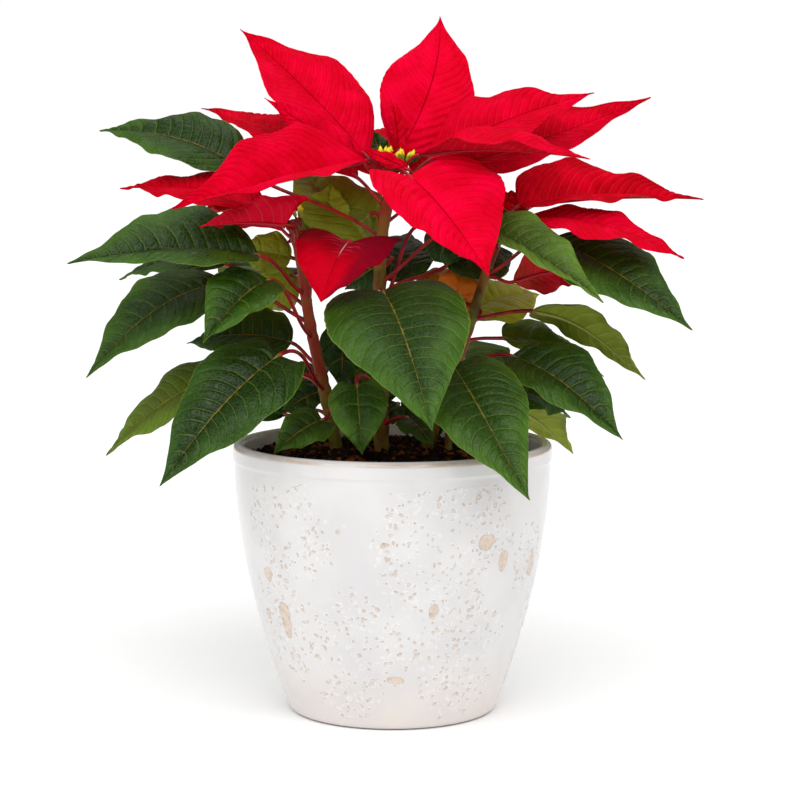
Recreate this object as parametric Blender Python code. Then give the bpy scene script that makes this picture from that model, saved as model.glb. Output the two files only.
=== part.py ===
"""Poinsettia with three flower heads, grown in a round glazed pot.

Metres, +Z up. The pot stands on z = 0 with its axis on the Z axis, and the front of the plant faces -Y.
Points and sizes of the plant are whole millimetres in the tables and become metres where they are used.
"""

import math
import random
from collections import namedtuple

import bmesh
import bpy
from mathutils import Matrix, Vector

MM = 0.001
GAP = 0.0003

# Pot: a straight collar over a body that narrows to the foot
POT_HEIGHT = 0.150
POT_RADIUS = 0.0885
FOOT_RADIUS = 0.0575
COLLAR_HEIGHT = 0.0105
COLLAR_STEP = 0.0007
WALL = 0.0065
FLOOR_THICKNESS = 0.008
BODY_BULGE = 1.73
FOOT_ROUNDING = 0.0025
POT_SIDES = 44
BODY_RINGS = 6
LIP_RINGS = 6
INNER_RINGS = 3

# Potting mix: fills the pot and mounds a little round the stems
SOIL_LEVEL = 0.1405
SOIL_MOUND = 0.003
SOIL_LUMP = 0.0012
SOIL_RINGS = 5

# Stems
STEM_SIDES = 10
STEM_STEP = 0.012

# Blades
BLADE_THICKNESS = 0.0008
EDGE_THICKNESS = 0.0006
BLADE_STEPS = 10
PETIOLE_STEP = 0.018
PETIOLE_ANGLE = math.radians(58)
RING_POINTS = 10
WAVES = 3
NOTCHES = 2.5
SWELL = 0.3
LOBE_POWER = 5
LOBE_START = 0.06
LOBE_SKEW = 2.5
NORMAL_STEP = 0.02

# A bow of the midrib moves its curve by this share of what it moves the inner control points
CURVE_SHARE = 0.75

# Flower heads
BUD_RADIUS = 0.0023
BUD_LENGTH = 0.0042
BUD_LEVEL = 0.0085
BUD_DROP = 0.30
BUD_JITTER = 0.0005
BUD_TILT = 45
CUSHION_HEIGHT = 0.005
CUSHION_FOOT = 0.55
CUSHION_TOP = 0.95

Stem = namedtuple("Stem", "points foot_radius top_radius")
Kind = namedtuple("Kind", "base_power tip_power lobe scallop wave petiole_radius color")

# Points run up each stem's axis, in mm
STEMS = {
    "centre": Stem([(-6, 2, 116), (-6, 0, 160), (-7, -3, 228), (-6, -3, 262), (1, 0, 302)], 4.2, 2.9),
    "left": Stem([(-27, 12, 116), (-34, 8, 160), (-45, -2, 213), (-50, -10, 250), (-54, -14, 270)], 3.9, 2.5),
    "right": Stem([(15, 8, 116), (24, 8, 160), (41, 10, 208), (53, 12, 245), (63, 12, 274)], 3.5, 2.4),
}

# How full the outline is near the base and near the tip, then how the blade is lobed, notched and waved
KINDS = {
    "bract": Kind(0.95, 1.55, 0.02, 0.025, 0.0016, 1.2, (0.62, 0.004, 0.012, 1)),
    "broad": Kind(0.45, 1.40, 0.12, 0.02, 0.0016, 1.2, (0.62, 0.004, 0.012, 1)),
    "delta": Kind(0.20, 1.05, 0.58, 0.02, 0.0014, 1.2, (0.62, 0.004, 0.012, 1)),
    "wing": Kind(0.55, 1.40, 0.55, 0.02, 0.0016, 1.2, (0.62, 0.004, 0.012, 1)),
    "arrow": Kind(0.20, 1.05, 0.88, 0.02, 0.0014, 1.2, (0.62, 0.004, 0.012, 1)),
    "leaf": Kind(0.75, 1.45, 0.10, 0.018, 0.0012, 1.4, (0.030, 0.095, 0.018, 1)),
    "heart": Kind(0.58, 1.30, 0.50, 0.015, 0.0010, 1.4, (0.030, 0.095, 0.018, 1)),
}

COLORS = {
    "pot": (0.83, 0.82, 0.80, 1),
    "soil": (0.035, 0.014, 0.006, 1),
    "stem": (0.16, 0.12, 0.05, 1),
    "cyathia": (0.45, 0.50, 0.03, 1),
}


def clear_scene():
    for obj in list(bpy.data.objects):
        bpy.data.objects.remove(obj, do_unlink=True)


def make_material(name, color, roughness):
    material = bpy.data.materials.new(name)
    material.use_nodes = True
    shader = material.node_tree.nodes["Principled BSDF"]
    shader.inputs["Base Color"].default_value = color
    shader.inputs["Roughness"].default_value = roughness
    shader.inputs["Metallic"].default_value = 0.0
    material.diffuse_color = color
    return material


def add_object(name, bm, color, roughness):
    mesh = bpy.data.meshes.new(name)
    bm.normal_update()
    bm.to_mesh(mesh)
    bm.free()
    mesh.shade_smooth()
    mesh.set_sharp_from_angle(angle=math.radians(40))
    obj = bpy.data.objects.new(name, mesh)
    bpy.context.scene.collection.objects.link(obj)
    mesh.materials.append(make_material(name, color, roughness))
    return obj


def add_ring(bm, points):
    return [bm.verts.new(point) for point in points]


def join_rings(bm, lower, upper):
    """Walls between two rings of as many points, which turn anticlockwise as seen from above."""
    for index in range(len(lower)):
        following = (index + 1) % len(lower)
        bm.faces.new((lower[index], lower[following], upper[following], upper[index]))


def circle(radius, z, sides):
    turn = 2 * math.pi / sides
    return [Vector((radius * math.cos(turn * k), radius * math.sin(turn * k), z)) for k in range(sides)]


def body_radius(z):
    """Outside radius of the pot's body, from the foot up to the collar."""
    share = min(max(z / (POT_HEIGHT - COLLAR_HEIGHT), 0.0), 1.0)
    full = POT_RADIUS - COLLAR_STEP - FOOT_RADIUS
    return FOOT_RADIUS + full * (1 - (1 - share) ** BODY_BULGE)


def pot_profile():
    """Radius and height pairs, from the middle of the base, up the outside and down the inside."""
    collar_foot = POT_HEIGHT - COLLAR_HEIGHT
    profile = [(FOOT_RADIUS - FOOT_ROUNDING, 0.0)]
    profile.append((body_radius(FOOT_ROUNDING), FOOT_ROUNDING))
    for step in range(1, BODY_RINGS + 1):
        z = FOOT_ROUNDING + (collar_foot - FOOT_ROUNDING) * step / BODY_RINGS
        profile.append((body_radius(z), z))
    half_wall = WALL / 2
    lip = POT_HEIGHT - half_wall
    profile.append((POT_RADIUS, collar_foot + COLLAR_STEP * 2))
    middle = POT_RADIUS - half_wall
    for step in range(LIP_RINGS + 1):
        angle = math.pi * step / LIP_RINGS
        profile.append((middle + half_wall * math.cos(angle), lip + half_wall * math.sin(angle)))
    for step in range(INNER_RINGS):
        z = lip - (lip - FLOOR_THICKNESS) * (step + 1) / INNER_RINGS
        profile.append((inner_radius(z), z))
    return profile


def inner_radius(z):
    return min(body_radius(z), POT_RADIUS) - WALL


def make_pot():
    bm = bmesh.new()
    rings = [add_ring(bm, circle(radius, z, POT_SIDES)) for radius, z in pot_profile()]
    for lower, upper in zip(rings, rings[1:]):
        join_rings(bm, lower, upper)
    bm.faces.new(list(reversed(rings[0])))
    bm.faces.new(rings[-1])
    return add_object("pot", bm, COLORS["pot"], 0.22)


def soil_height(x, y, noise):
    """Top of the mix: a low mound with lumps."""
    from_axis = math.hypot(x, y) / inner_radius(SOIL_LEVEL)
    return SOIL_LEVEL + SOIL_MOUND * (1 - from_axis ** 2) + SOIL_LUMP * noise.uniform(-1, 1)


def make_soil():
    noise = random.Random(7)
    bm = bmesh.new()
    clearance = GAP / math.cos(math.pi / POT_SIDES) + GAP
    floor = FLOOR_THICKNESS + GAP
    rings = []
    for step in range(INNER_RINGS + 1):
        z = floor + (SOIL_LEVEL - floor) * step / INNER_RINGS
        rings.append(add_ring(bm, circle(chord_radius(z) - clearance, z, POT_SIDES)))
    edge = chord_radius(SOIL_LEVEL) - clearance
    for step in range(SOIL_RINGS - 1, 0, -1):
        points = circle(edge * step / SOIL_RINGS, 0.0, POT_SIDES)
        rings.append(add_ring(bm, [Vector((p.x, p.y, soil_height(p.x, p.y, noise))) for p in points]))
    for lower, upper in zip(rings, rings[1:]):
        join_rings(bm, lower, upper)
    bm.faces.new(list(reversed(rings[0])))
    bm.faces.new(rings[-1])
    soil = add_object("soil", bm, COLORS["soil"], 0.95)
    for stem in STEMS.values():
        cut_hole(soil, stem)
    return soil


def chord_radius(z):
    """Inside radius on the straight lines between the pot's inner rings."""
    lip = POT_HEIGHT - WALL / 2
    step = (lip - FLOOR_THICKNESS) / INNER_RINGS
    below = FLOOR_THICKNESS + step * math.floor((z - FLOOR_THICKNESS) / step + 1e-6)
    share = (z - below) / step
    return inner_radius(below) * (1 - share) + inner_radius(min(below + step, lip)) * share


def stem_axis(stem, z):
    """Point on a stem's axis at a height, on a smooth curve through the stem's points."""
    points = [Vector(point) * MM for point in stem.points]
    index = 0
    while index < len(points) - 2 and z > points[index + 1].z:
        index += 1
    low, high = points[index], points[index + 1]
    before = points[max(index - 1, 0)]
    after = points[min(index + 2, len(points) - 1)]
    span = high.z - low.z
    share = (z - low.z) / span
    slope_low = (high - before) / (high.z - before.z) * span
    slope_high = (after - low) / (after.z - low.z) * span
    point = (
        low * (2 * share ** 3 - 3 * share ** 2 + 1)
        + slope_low * (share ** 3 - 2 * share ** 2 + share)
        + high * (3 * share ** 2 - 2 * share ** 3)
        + slope_high * (share ** 3 - share ** 2)
    )
    return Vector((point.x, point.y, z))


def stem_direction(stem, z):
    return (stem_axis(stem, z + MM) - stem_axis(stem, z - MM)).normalized()


def stem_radius(stem, z):
    bottom = stem.points[0][2] * MM
    share = (z - bottom) / (stem.points[-1][2] * MM - bottom)
    return (stem.foot_radius + (stem.top_radius - stem.foot_radius) * share) * MM


def stem_mesh(stem, extra=0.0):
    """Tube along a stem's axis, which is wider and deeper by extra for the hole that it stands in."""
    bottom = stem.points[0][2] * MM - extra
    top = stem.points[-1][2] * MM
    count = math.ceil((top - bottom) / STEM_STEP)
    bm = bmesh.new()
    rings = []
    for step in range(count + 1):
        z = bottom + (top - bottom) * step / count
        turn = Vector((0, 0, 1)).rotation_difference(stem_direction(stem, z)).to_matrix()
        center = stem_axis(stem, z)
        radius = stem_radius(stem, z) + extra
        rings.append(add_ring(bm, [center + turn @ p for p in circle(radius, 0.0, STEM_SIDES)]))
    for lower, upper in zip(rings, rings[1:]):
        join_rings(bm, lower, upper)
    bm.faces.new(list(reversed(rings[0])))
    bm.faces.new(rings[-1])
    bmesh.ops.triangulate(bm, faces=bm.faces[:])
    return bm


def cut_hole(soil, stem):
    cutter = add_object("hole_cutter", stem_mesh(stem, GAP), COLORS["soil"], 1.0)
    hole = soil.modifiers.new("stem hole", "BOOLEAN")
    hole.operation = "DIFFERENCE"
    hole.solver = "EXACT"
    hole.object = cutter
    apply_modifiers(soil)
    bpy.data.objects.remove(cutter, do_unlink=True)


def apply_modifiers(obj):
    graph = bpy.context.evaluated_depsgraph_get()
    mesh = bpy.data.meshes.new_from_object(obj.evaluated_get(graph))
    obj.modifiers.clear()
    obj.data = mesh


def bezier(points, share):
    rest = 1 - share
    return (
        points[0] * rest ** 3
        + points[1] * 3 * rest ** 2 * share
        + points[2] * 3 * rest * share ** 2
        + points[3] * share ** 3
    )


def bezier_slope(points, share):
    rest = 1 - share
    slope = (
        (points[1] - points[0]) * rest ** 2
        + (points[2] - points[1]) * 2 * rest * share
        + (points[3] - points[2]) * share ** 2
    )
    return slope.normalized()


class Blade:
    """A leaf or a bract: a petiole that leaves a stem, and a blade spread on both sides of a midrib.

    base and tip are the midrib's ends and face is the way the upper side looks. arch is the midrib's
    rise as a share of its length, and lean moves that rise towards the tip. fold is the angle of
    each half above flat, curl how far the edges bend back as a share of the half width, and bend
    the midrib's bow to its left as a share of its length. skew makes the half on the side of
    positive u narrower and its lobe longer. Without a kind the name's first word is it.
    """

    def __init__(self, name, stem, height, base, tip, width, face,
                 arch=0.09, fold=10, curl=0.12, bend=0.0, lean=-0.2, kind="", skew=0.0):
        self.name = name
        self.stem = STEMS[stem]
        self.height = height * MM
        self.half = width * MM / 2
        self.kind = KINDS[kind or name.split("_")[0]]
        self.fold = math.radians(fold)
        self.curl = curl
        self.skew = skew
        base, tip = Vector(base) * MM, Vector(tip) * MM
        chord = tip - base
        along = chord.normalized()
        face = Vector(face)
        self.up = (face - along * face.dot(along)).normalized()
        bow = along.cross(self.up) * chord.length * bend / CURVE_SHARE
        rise = self.up * chord.length * arch / CURVE_SHARE
        near = base + chord / 3 + bow + rise * (1 - lean)
        far = base + chord * 2 / 3 + bow + rise * (1 + lean)
        self.midrib = (base, near, far, tip)
        draw = random.Random(name)
        self.phases = [draw.uniform(0, 2 * math.pi) for _ in range(4)]

    def frame(self, v):
        """Side, up and forward directions at a share v of the midrib."""
        forward = bezier_slope(self.midrib, v)
        side = forward.cross(self.up).normalized()
        return side, side.cross(forward), forward

    def outline(self, v, u):
        """Half width at v, on the side of u, with shallow notches."""
        kind = self.kind
        peak = kind.base_power / (kind.base_power + kind.tip_power)
        v = min(max(v, 0.0), 1.0)
        width = (v / peak) ** kind.base_power * ((1 - v) / (1 - peak)) ** kind.tip_power
        notch = math.sin(2 * math.pi * NOTCHES * v + self.phases[0 if u > 0 else 1])
        share = 1 - self.skew if u > 0 else 1 + self.skew
        return self.half * share * width * (1 + kind.scallop * notch)

    def point(self, u, v):
        """Point of the blade's middle surface: u from -1 to 1 across, v from 0 to 1 along."""
        side, up, forward = self.frame(v)
        out = abs(u)
        width = self.outline(v, u)
        wave = self.kind.wave * math.sin(2 * math.pi * WAVES * v + self.phases[2 if u > 0 else 3])
        lift = width * (out * math.sin(self.fold) + SWELL * out * (1 - out) - self.curl * out ** 2)
        lift += wave * out ** 2 * math.sqrt(max(4 * v * (1 - v), 0.0))
        lobe = self.kind.lobe * (1 + LOBE_SKEW * self.skew * (1 if u > 0 else -1))
        back = lobe * self.half * out * (1 - v) ** LOBE_POWER * min(v / LOBE_START, 1.0)
        return bezier(self.midrib, v) + side * width * u * math.cos(self.fold) + up * lift - forward * back

    def normal(self, u, v):
        if abs(u) < NORMAL_STEP:
            return self.frame(v)[1]
        low, high = max(u - NORMAL_STEP, -1.0), min(u + NORMAL_STEP, 1.0)
        across = self.point(high, v) - self.point(low, v)
        along = self.point(u, min(v + NORMAL_STEP, 1.0)) - self.point(u, max(v - NORMAL_STEP, 0.0))
        return across.cross(along).normalized()

    def petiole(self):
        """Control points of the petiole's curve, whose foot stands a gap off the stem."""
        axis_point = stem_axis(self.stem, self.height)
        axis = stem_direction(self.stem, self.height)
        radius = self.kind.petiole_radius * MM
        outward = self.midrib[0] - axis_point
        outward = (outward - axis * outward.dot(axis)).normalized()
        start = outward * math.sin(PETIOLE_ANGLE) + axis * math.cos(PETIOLE_ANGLE)
        reach = stem_radius(self.stem, self.height) + GAP + radius * abs(math.cos(PETIOLE_ANGLE))
        foot = axis_point + start * (reach / math.sin(PETIOLE_ANGLE))
        base = self.midrib[0]
        span = (base - foot).length / 3
        return (foot, foot + start * span, base - bezier_slope(self.midrib, 0) * span, base)


def petiole_rings(blade):
    """Round rings from the petiole's foot to the blade's base, carried along without twisting."""
    path = blade.petiole()
    length = (path[3] - path[0]).length
    count = max(2, math.ceil(length / PETIOLE_STEP))
    side, up, forward = blade.frame(0)
    radius = blade.kind.petiole_radius * MM
    rings = []
    for step in range(count, -1, -1):
        share = step / count
        direction = bezier_slope(path, share)
        turn = forward.rotation_difference(direction)
        side, up, forward = turn @ side, turn @ up, direction
        center = bezier(path, share)
        ring = []
        for k in range(RING_POINTS):
            angle = math.pi - 2 * math.pi * (k + 0.5) / RING_POINTS
            ring.append(center + side * radius * math.cos(angle) + up * radius * math.sin(angle))
        rings.append(ring)
    return rings[::-1]


def blade_ring(blade, v):
    """Ten points round the blade at v: five over the top from edge to edge, then five back below."""
    rib = blade.kind.petiole_radius * MM * (1 - v)
    top, bottom = [], []
    for u in (-1.0, -0.5, 0.0, 0.5, 1.0):
        middle, normal = blade.point(u, v), blade.normal(u, v)
        thick = EDGE_THICKNESS if abs(u) == 1.0 else BLADE_THICKNESS
        top.append(middle + normal * thick / 2)
        bottom.append(middle - normal * (thick / 2 + (rib if u == 0 else 0.0)))
    return top + bottom[::-1]


def join_blade_rings(bm, near, far):
    """Triangles between two rings of ten, with the upper and lower face split alike."""
    for k in range(RING_POINTS):
        a, b = near[k], near[(k + 1) % RING_POINTS]
        c, d = far[(k + 1) % RING_POINTS], far[k]
        if k in (0, 1, 7, 8):
            corners = ((a, b, d), (b, c, d)) if k < 5 else ((a, b, c), (a, c, d))
        else:
            corners = ((a, b, c), (a, c, d)) if k < 5 else ((a, b, d), (b, c, d))
        for face in corners:
            bm.faces.new(face)


def blade_stations():
    """Shares of the midrib, closer together near the base and the tip."""
    shares = []
    for step in range(1, BLADE_STEPS):
        even = step / BLADE_STEPS
        shares.append(0.5 * even + 0.25 * (1 - math.cos(math.pi * even)))
    return shares


def make_blade(blade):
    bm = bmesh.new()
    outline = petiole_rings(blade) + [blade_ring(blade, v) for v in blade_stations()]
    rings = [add_ring(bm, ring) for ring in outline]
    for near, far in zip(rings, rings[1:]):
        join_blade_rings(bm, near, far)
    bm.faces.new(rings[0][::-1])
    tip = bm.verts.new(blade.midrib[3])
    last = rings[-1]
    for k in range(RING_POINTS):
        bm.faces.new((last[k], last[(k + 1) % RING_POINTS], tip))
    bmesh.ops.recalc_face_normals(bm, faces=bm.faces[:])
    return add_object(blade.name, bm, blade.kind.color, 0.45)


def make_stem(name, stem):
    return add_object("stem_" + name, stem_mesh(stem), COLORS["stem"], 0.6)


def make_cyathia(name, stem, buds, spread):
    """Tuft of small round buds on a low cushion that sits on the stem's end."""
    top = stem_axis(stem, stem.points[-1][2] * MM)
    axis = stem_direction(stem, top.z)
    turn = Vector((0, 0, 1)).rotation_difference(axis).to_matrix().to_4x4()
    place = Matrix.Translation(top + axis * GAP) @ turn
    group = bpy.data.collections.new("buds")
    bpy.context.scene.collection.children.link(group)
    draw = random.Random(name)
    golden = math.pi * (3 - math.sqrt(5))
    for k in range(buds):
        out = spread * math.sqrt((k + 0.3) / buds)
        angle = golden * k
        height = BUD_LEVEL - BUD_DROP * out + draw.uniform(-BUD_JITTER, BUD_JITTER)
        tilt = Matrix.Rotation(angle, 4, "Z") @ Matrix.Rotation(out * BUD_TILT, 4, "Y")
        spot = Matrix.Translation((out * math.cos(angle), out * math.sin(angle), height))
        size = Matrix.Diagonal((BUD_RADIUS, BUD_RADIUS, BUD_LENGTH, 1))
        bud = bmesh.new()
        matrix = place @ spot @ tilt @ size
        bmesh.ops.create_uvsphere(bud, u_segments=7, v_segments=4, radius=1, matrix=matrix)
        move_to_collection(add_object("bud", bud, COLORS["cyathia"], 0.5), group)
    cushion = bmesh.new()
    middle = place @ Matrix.Translation((0, 0, CUSHION_HEIGHT / 2))
    bmesh.ops.create_cone(cushion, cap_ends=True, segments=14, radius1=spread * CUSHION_FOOT,
                          radius2=spread * CUSHION_TOP, depth=CUSHION_HEIGHT, matrix=middle)
    cluster = add_object("cyathia_" + name, cushion, COLORS["cyathia"], 0.5)
    union = cluster.modifiers.new("buds", "BOOLEAN")
    union.operation = "UNION"
    union.solver = "EXACT"
    union.operand_type = "COLLECTION"
    union.collection = group
    apply_modifiers(cluster)
    for bud in list(group.objects):
        bpy.data.objects.remove(bud, do_unlink=True)
    bpy.data.collections.remove(group)
    return cluster


def move_to_collection(obj, group):
    bpy.context.scene.collection.objects.unlink(obj)
    group.objects.link(obj)


# Red bracts: name, stem, height of the petiole's foot on it, base, tip, width and face, in mm
BRACTS = [
    Blade("bract_top_1", "centre", 292, (-14, 5, 307), (-86, 45, 378), 56, (0.35, -0.8, 0.5), 0.03, 20),
    Blade("bract_top_2", "centre", 294, (3, 17, 307), (27, 62, 386), 54, (0.1, -1.0, 0.5), 0.08, 10,
          bend=0.07),
    Blade("bract_top_3", "centre", 290, (20, 4, 305), (113, 30, 342), 49, (-0.1, -0.6, 0.8), 0.05, 20),
    Blade("bract_top_4", "centre", 282, (21, 12, 299), (148, 62, 340), 52, (-0.1, -0.6, 0.8), -0.03, 14,
          skew=0.18),
    Blade("bract_top_5", "centre", 287, (14, -11, 308), (105, -43, 306), 46, (0.0, -0.2, 1.0), 0.04, 30),
    Blade("bract_top_6", "centre", 294, (9, -30, 297), (50, -82, 246), 66, (0.2, -0.8, 0.6), 0.03, 12,
          bend=-0.02, kind="wing", skew=0.22),
    Blade("bract_top_7", "centre", 289, (-14, -8, 305), (-115, -70, 281), 64, (-0.1, -0.7, 0.8), 0.0, 42),
    Blade("bract_top_8", "centre", 285, (-18, -3, 305), (-70, -7, 339), 20, (0.1, -0.9, 0.45), 0.0, 10),
    Blade("bract_top_9", "centre", 279, (-19, 6, 295), (-112, 90, 334), 46, (0.0, -0.3, 1.0), 0.05, 12),
    Blade("bract_top_10", "centre", 275, (-4, 18, 294), (-30, 118, 320), 60, (0.0, -0.2, 1.0), 0.08, 12),
    Blade("bract_top_11", "centre", 270, (15, 16, 288), (68, 104, 322), 46, (0.0, -0.1, 1.0), 0.06, 12),
    Blade("bract_left_1", "left", 262, (-69, -14, 277), (-153, 28, 289), 48, (0.0, -0.35, 0.95), 0.06, 16),
    Blade("bract_left_2", "left", 260, (-57, -39, 271), (-101, -62, 271), 46, (0.0, 0.5, 0.85), 0.04, 26,
          kind="delta"),
    Blade("bract_left_3", "left", 250, (-23.5, -45, 262), (-37, -84, 233), 55, (-0.13, -0.7, 0.7), 0.08, 8,
          kind="arrow"),
    Blade("bract_left_4", "left", 256, (-60, 2, 272), (-106, 72, 272), 52, (0.0, -0.1, 1.0), 0.08, 12),
    Blade("bract_left_5", "left", 242, (-40, 8, 256), (-34, 84, 242), 46, (0.0, 0.1, 1.0), 0.08, 12),
    Blade("bract_right_1", "right", 256, (69, -6, 280), (173, 16, 283), 58, (0.0, -0.45, 0.9), 0.03, 32,
          kind="broad"),
    Blade("bract_right_2", "right", 260, (71, -9, 273), (156, -38, 253), 52, (0.0, -0.25, 1.0), 0.08, 8),
    Blade("bract_right_3", "right", 240, (67, 6, 238), (112, -2, 246), 46, (0.0, 0.6, 0.8), 0.06, 10),
    Blade("bract_right_4", "right", 263, (76, 24, 278), (132, 84, 290), 54, (0.0, -0.1, 1.0), 0.08, 12),
    Blade("bract_right_5", "right", 256, (60, 26, 272), (66, 104, 280), 52, (0.0, -0.1, 1.0), 0.08, 12),
]

# Green leaves, in the same terms
LEAVES = [
    Blade("leaf_left_1", "centre", 262, (-84, 22, 300), (-167, 52, 321), 58, (0.0, -0.45, 0.9), fold=14),
    Blade("leaf_left_2", "left", 232, (-72, -38, 255), (-170, -68, 252), 60, (0.0, -0.55, 0.85),
          arch=0.06, fold=25),
    Blade("leaf_left_3", "left", 224, (-94, 30, 246), (-157, 52, 236), 50, (0.0, -0.3, 1.0)),
    Blade("leaf_left_4", "left", 216, (-92, 0, 238), (-166, -30, 188), 58, (-0.2, -0.5, 0.8), arch=0.12),
    Blade("leaf_left_5", "left", 208, (-66, -46, 242), (-98, -88, 212), 42, (0.0, -0.6, 0.8), fold=22),
    Blade("leaf_left_6", "left", 192, (-56, 6, 204), (-116, 22, 202), 52, (0.0, -0.5, 0.85)),
    Blade("leaf_left_7", "left", 184, (-84, -16, 191), (-159, -4, 142), 46, (-0.3, -0.5, 0.8)),
    Blade("leaf_left_8", "left", 178, (-60, -58, 203), (-120, -98, 139), 53, (-0.3, -1.0, 0.5),
          kind="heart"),
    Blade("leaf_left_9", "left", 166, (-38, -28, 165), (-64, -46, 149), 27, (-0.2, -0.8, 0.6), kind="heart"),
    Blade("leaf_left_10", "left", 160, (-62, 54, 158), (-98, 82, 147), 36, (0.0, -0.4, 0.9)),
    Blade("leaf_left_11", "left", 228, (-58, 36, 240), (-96, 106, 218), 60, (0.0, 0.3, 0.9)),
    Blade("leaf_left_12", "left", 174, (-55, 48, 184), (-68, 112, 162), 52, (0.0, 0.4, 0.9)),
    Blade("leaf_left_13", "left", 171, (-24, 22, 178), (0, 50, 154), 42, (0.0, -0.4, 0.9)),
    Blade("leaf_centre_1", "centre", 176, (-19, -46, 186), (-16, -60, 150), 32, (0.0, -1.0, 0.1),
          kind="heart"),
    Blade("leaf_centre_2", "centre", 222, (-5, -48, 236), (20, -132, 172), 76, (0.0, -0.7, 0.8), 0.1, 8,
          kind="heart"),
    Blade("leaf_centre_3", "centre", 238, (-15, 18, 259), (-59, 60, 299), 52, (0.2, -0.6, 0.7)),
    Blade("leaf_centre_4", "centre", 230, (30, 30, 245), (70, 64, 250), 50, (0.0, -0.6, 0.7)),
    Blade("leaf_centre_5", "centre", 216, (0, 30, 236), (10, 76, 262), 40, (0.0, -0.7, 0.7)),
    Blade("leaf_centre_6", "centre", 198, (-12, 46, 206), (-6, 84, 156), 44, (0.0, 0.7, 0.7)),
    Blade("leaf_centre_7", "centre", 158, (8, -18, 165), (22, -42, 152), 20, (0.1, -0.8, 0.6), kind="heart"),
    Blade("leaf_centre_8", "centre", 238, (43, -24, 271), (110, -74, 232), 42, (0.0, -0.4, 0.9),
          arch=0.05, fold=30),
    Blade("leaf_right_1", "right", 212, (48, 30, 222), (10, 44, 240), 40, (0.0, -0.6, 0.8)),
    Blade("leaf_right_2", "right", 242, (87, -4, 262), (159, -54, 216), 56, (0.1, -0.6, 0.9), arch=0.05),
    Blade("leaf_right_3", "right", 216, (78, 16, 221), (143, 26, 181), 56, (0.1, 0.3, 0.9), lean=-0.5),
    Blade("leaf_right_4", "right", 204, (62, 24, 205), (122, 52, 180), 50, (0.1, -0.4, 0.9)),
    Blade("leaf_right_5", "right", 188, (65, -18, 199), (123, -52, 157), 52, (0.0, -0.5, 0.9), fold=20),
    Blade("leaf_right_6", "right", 194, (32, -48, 197), (70, -112, 134), 56, (0.2, -1.0, 0.6),
          kind="heart", bend=0.03),
    Blade("leaf_right_7", "right", 176, (60, 24, 176), (102, 38, 158), 40, (0.0, -0.4, 0.9)),
    Blade("leaf_right_8", "right", 168, (52, 36, 168), (107, 82, 131), 50, (0.1, 0.3, 0.9)),
    Blade("leaf_right_9", "right", 209, (42, 42, 217), (86, 74, 226), 52, (0.0, -0.5, 0.85)),
    Blade("leaf_right_10", "right", 200, (38, 46, 200), (50, 100, 150), 54, (0.0, 0.7, 0.7)),
]


def main():
    clear_scene()
    make_pot()
    make_soil()
    for name, stem in STEMS.items():
        make_stem(name, stem)
    make_cyathia("top", STEMS["centre"], 10, 0.0105)
    make_cyathia("left", STEMS["left"], 6, 0.0075)
    make_cyathia("right", STEMS["right"], 6, 0.0075)
    for blade in BRACTS + LEAVES:
        make_blade(blade)


main()
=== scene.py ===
"""Looks of the poinsettia with three flower heads in its round glazed pot.

Metres, +Z up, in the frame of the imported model. The tables of stems and blades hold whole millimetres.
"""

import math
import random
from collections import namedtuple

import bpy
import numpy as np
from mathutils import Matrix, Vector

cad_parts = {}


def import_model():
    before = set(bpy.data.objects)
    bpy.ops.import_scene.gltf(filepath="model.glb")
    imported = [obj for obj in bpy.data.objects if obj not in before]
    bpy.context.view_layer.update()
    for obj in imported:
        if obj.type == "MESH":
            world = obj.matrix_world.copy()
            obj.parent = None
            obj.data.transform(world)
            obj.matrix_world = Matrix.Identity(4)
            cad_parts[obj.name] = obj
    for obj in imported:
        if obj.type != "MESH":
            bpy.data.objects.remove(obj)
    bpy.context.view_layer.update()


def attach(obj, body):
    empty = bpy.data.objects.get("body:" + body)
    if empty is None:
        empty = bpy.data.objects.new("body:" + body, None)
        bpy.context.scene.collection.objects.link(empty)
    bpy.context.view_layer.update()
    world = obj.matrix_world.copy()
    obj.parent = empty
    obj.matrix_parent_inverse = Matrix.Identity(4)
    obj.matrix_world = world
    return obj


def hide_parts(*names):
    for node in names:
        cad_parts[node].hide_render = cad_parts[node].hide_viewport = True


MM = 0.001
FULL_TURN = 2 * math.pi
GOLDEN_ANGLE = math.pi * (3 - math.sqrt(5))

# Pot
POT_HEIGHT = 0.150
POT_RADIUS = 0.0885
FOOT_RADIUS = 0.0575
COLLAR_HEIGHT = 0.0105
COLLAR_STEP = 0.0007
WALL = 0.0065
FLOOR_THICKNESS = 0.008
BODY_BULGE = 1.73
FOOT_ROUNDING = 0.0025
FOOT_HOLLOW = 0.0015

# Potting mix
SOIL_LEVEL = 0.1405
SOIL_MOUND = 0.003

# Blades, in the same terms as their solids
SHEET_THICKNESS = 0.00042
PETIOLE_ANGLE = math.radians(58)
FOOT_DEPTH = 0.0012
WAVES = 3
NOTCHES = 2.5
SWELL = 0.3
LOBE_POWER = 5
LOBE_START = 0.06
LOBE_SKEW = 2.5
CURVE_SHARE = 0.75
TUBE_SIDES = 10
TUBE_TURNS = np.arange(TUBE_SIDES) * FULL_TURN / TUBE_SIDES

# How closely a blade's skin and its stalk are divided
BRACT_ROW = 0.85 * MM
LEAF_ROW = 1.25 * MM
COLUMN = 1.35 * MM
LEAST_ROWS = 24
LEAST_COLUMNS = 8
END_CROWDING = 0.25
PETIOLE_STEP = 2.5 * MM
MIDRIB_STEP = 3 * MM

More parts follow.
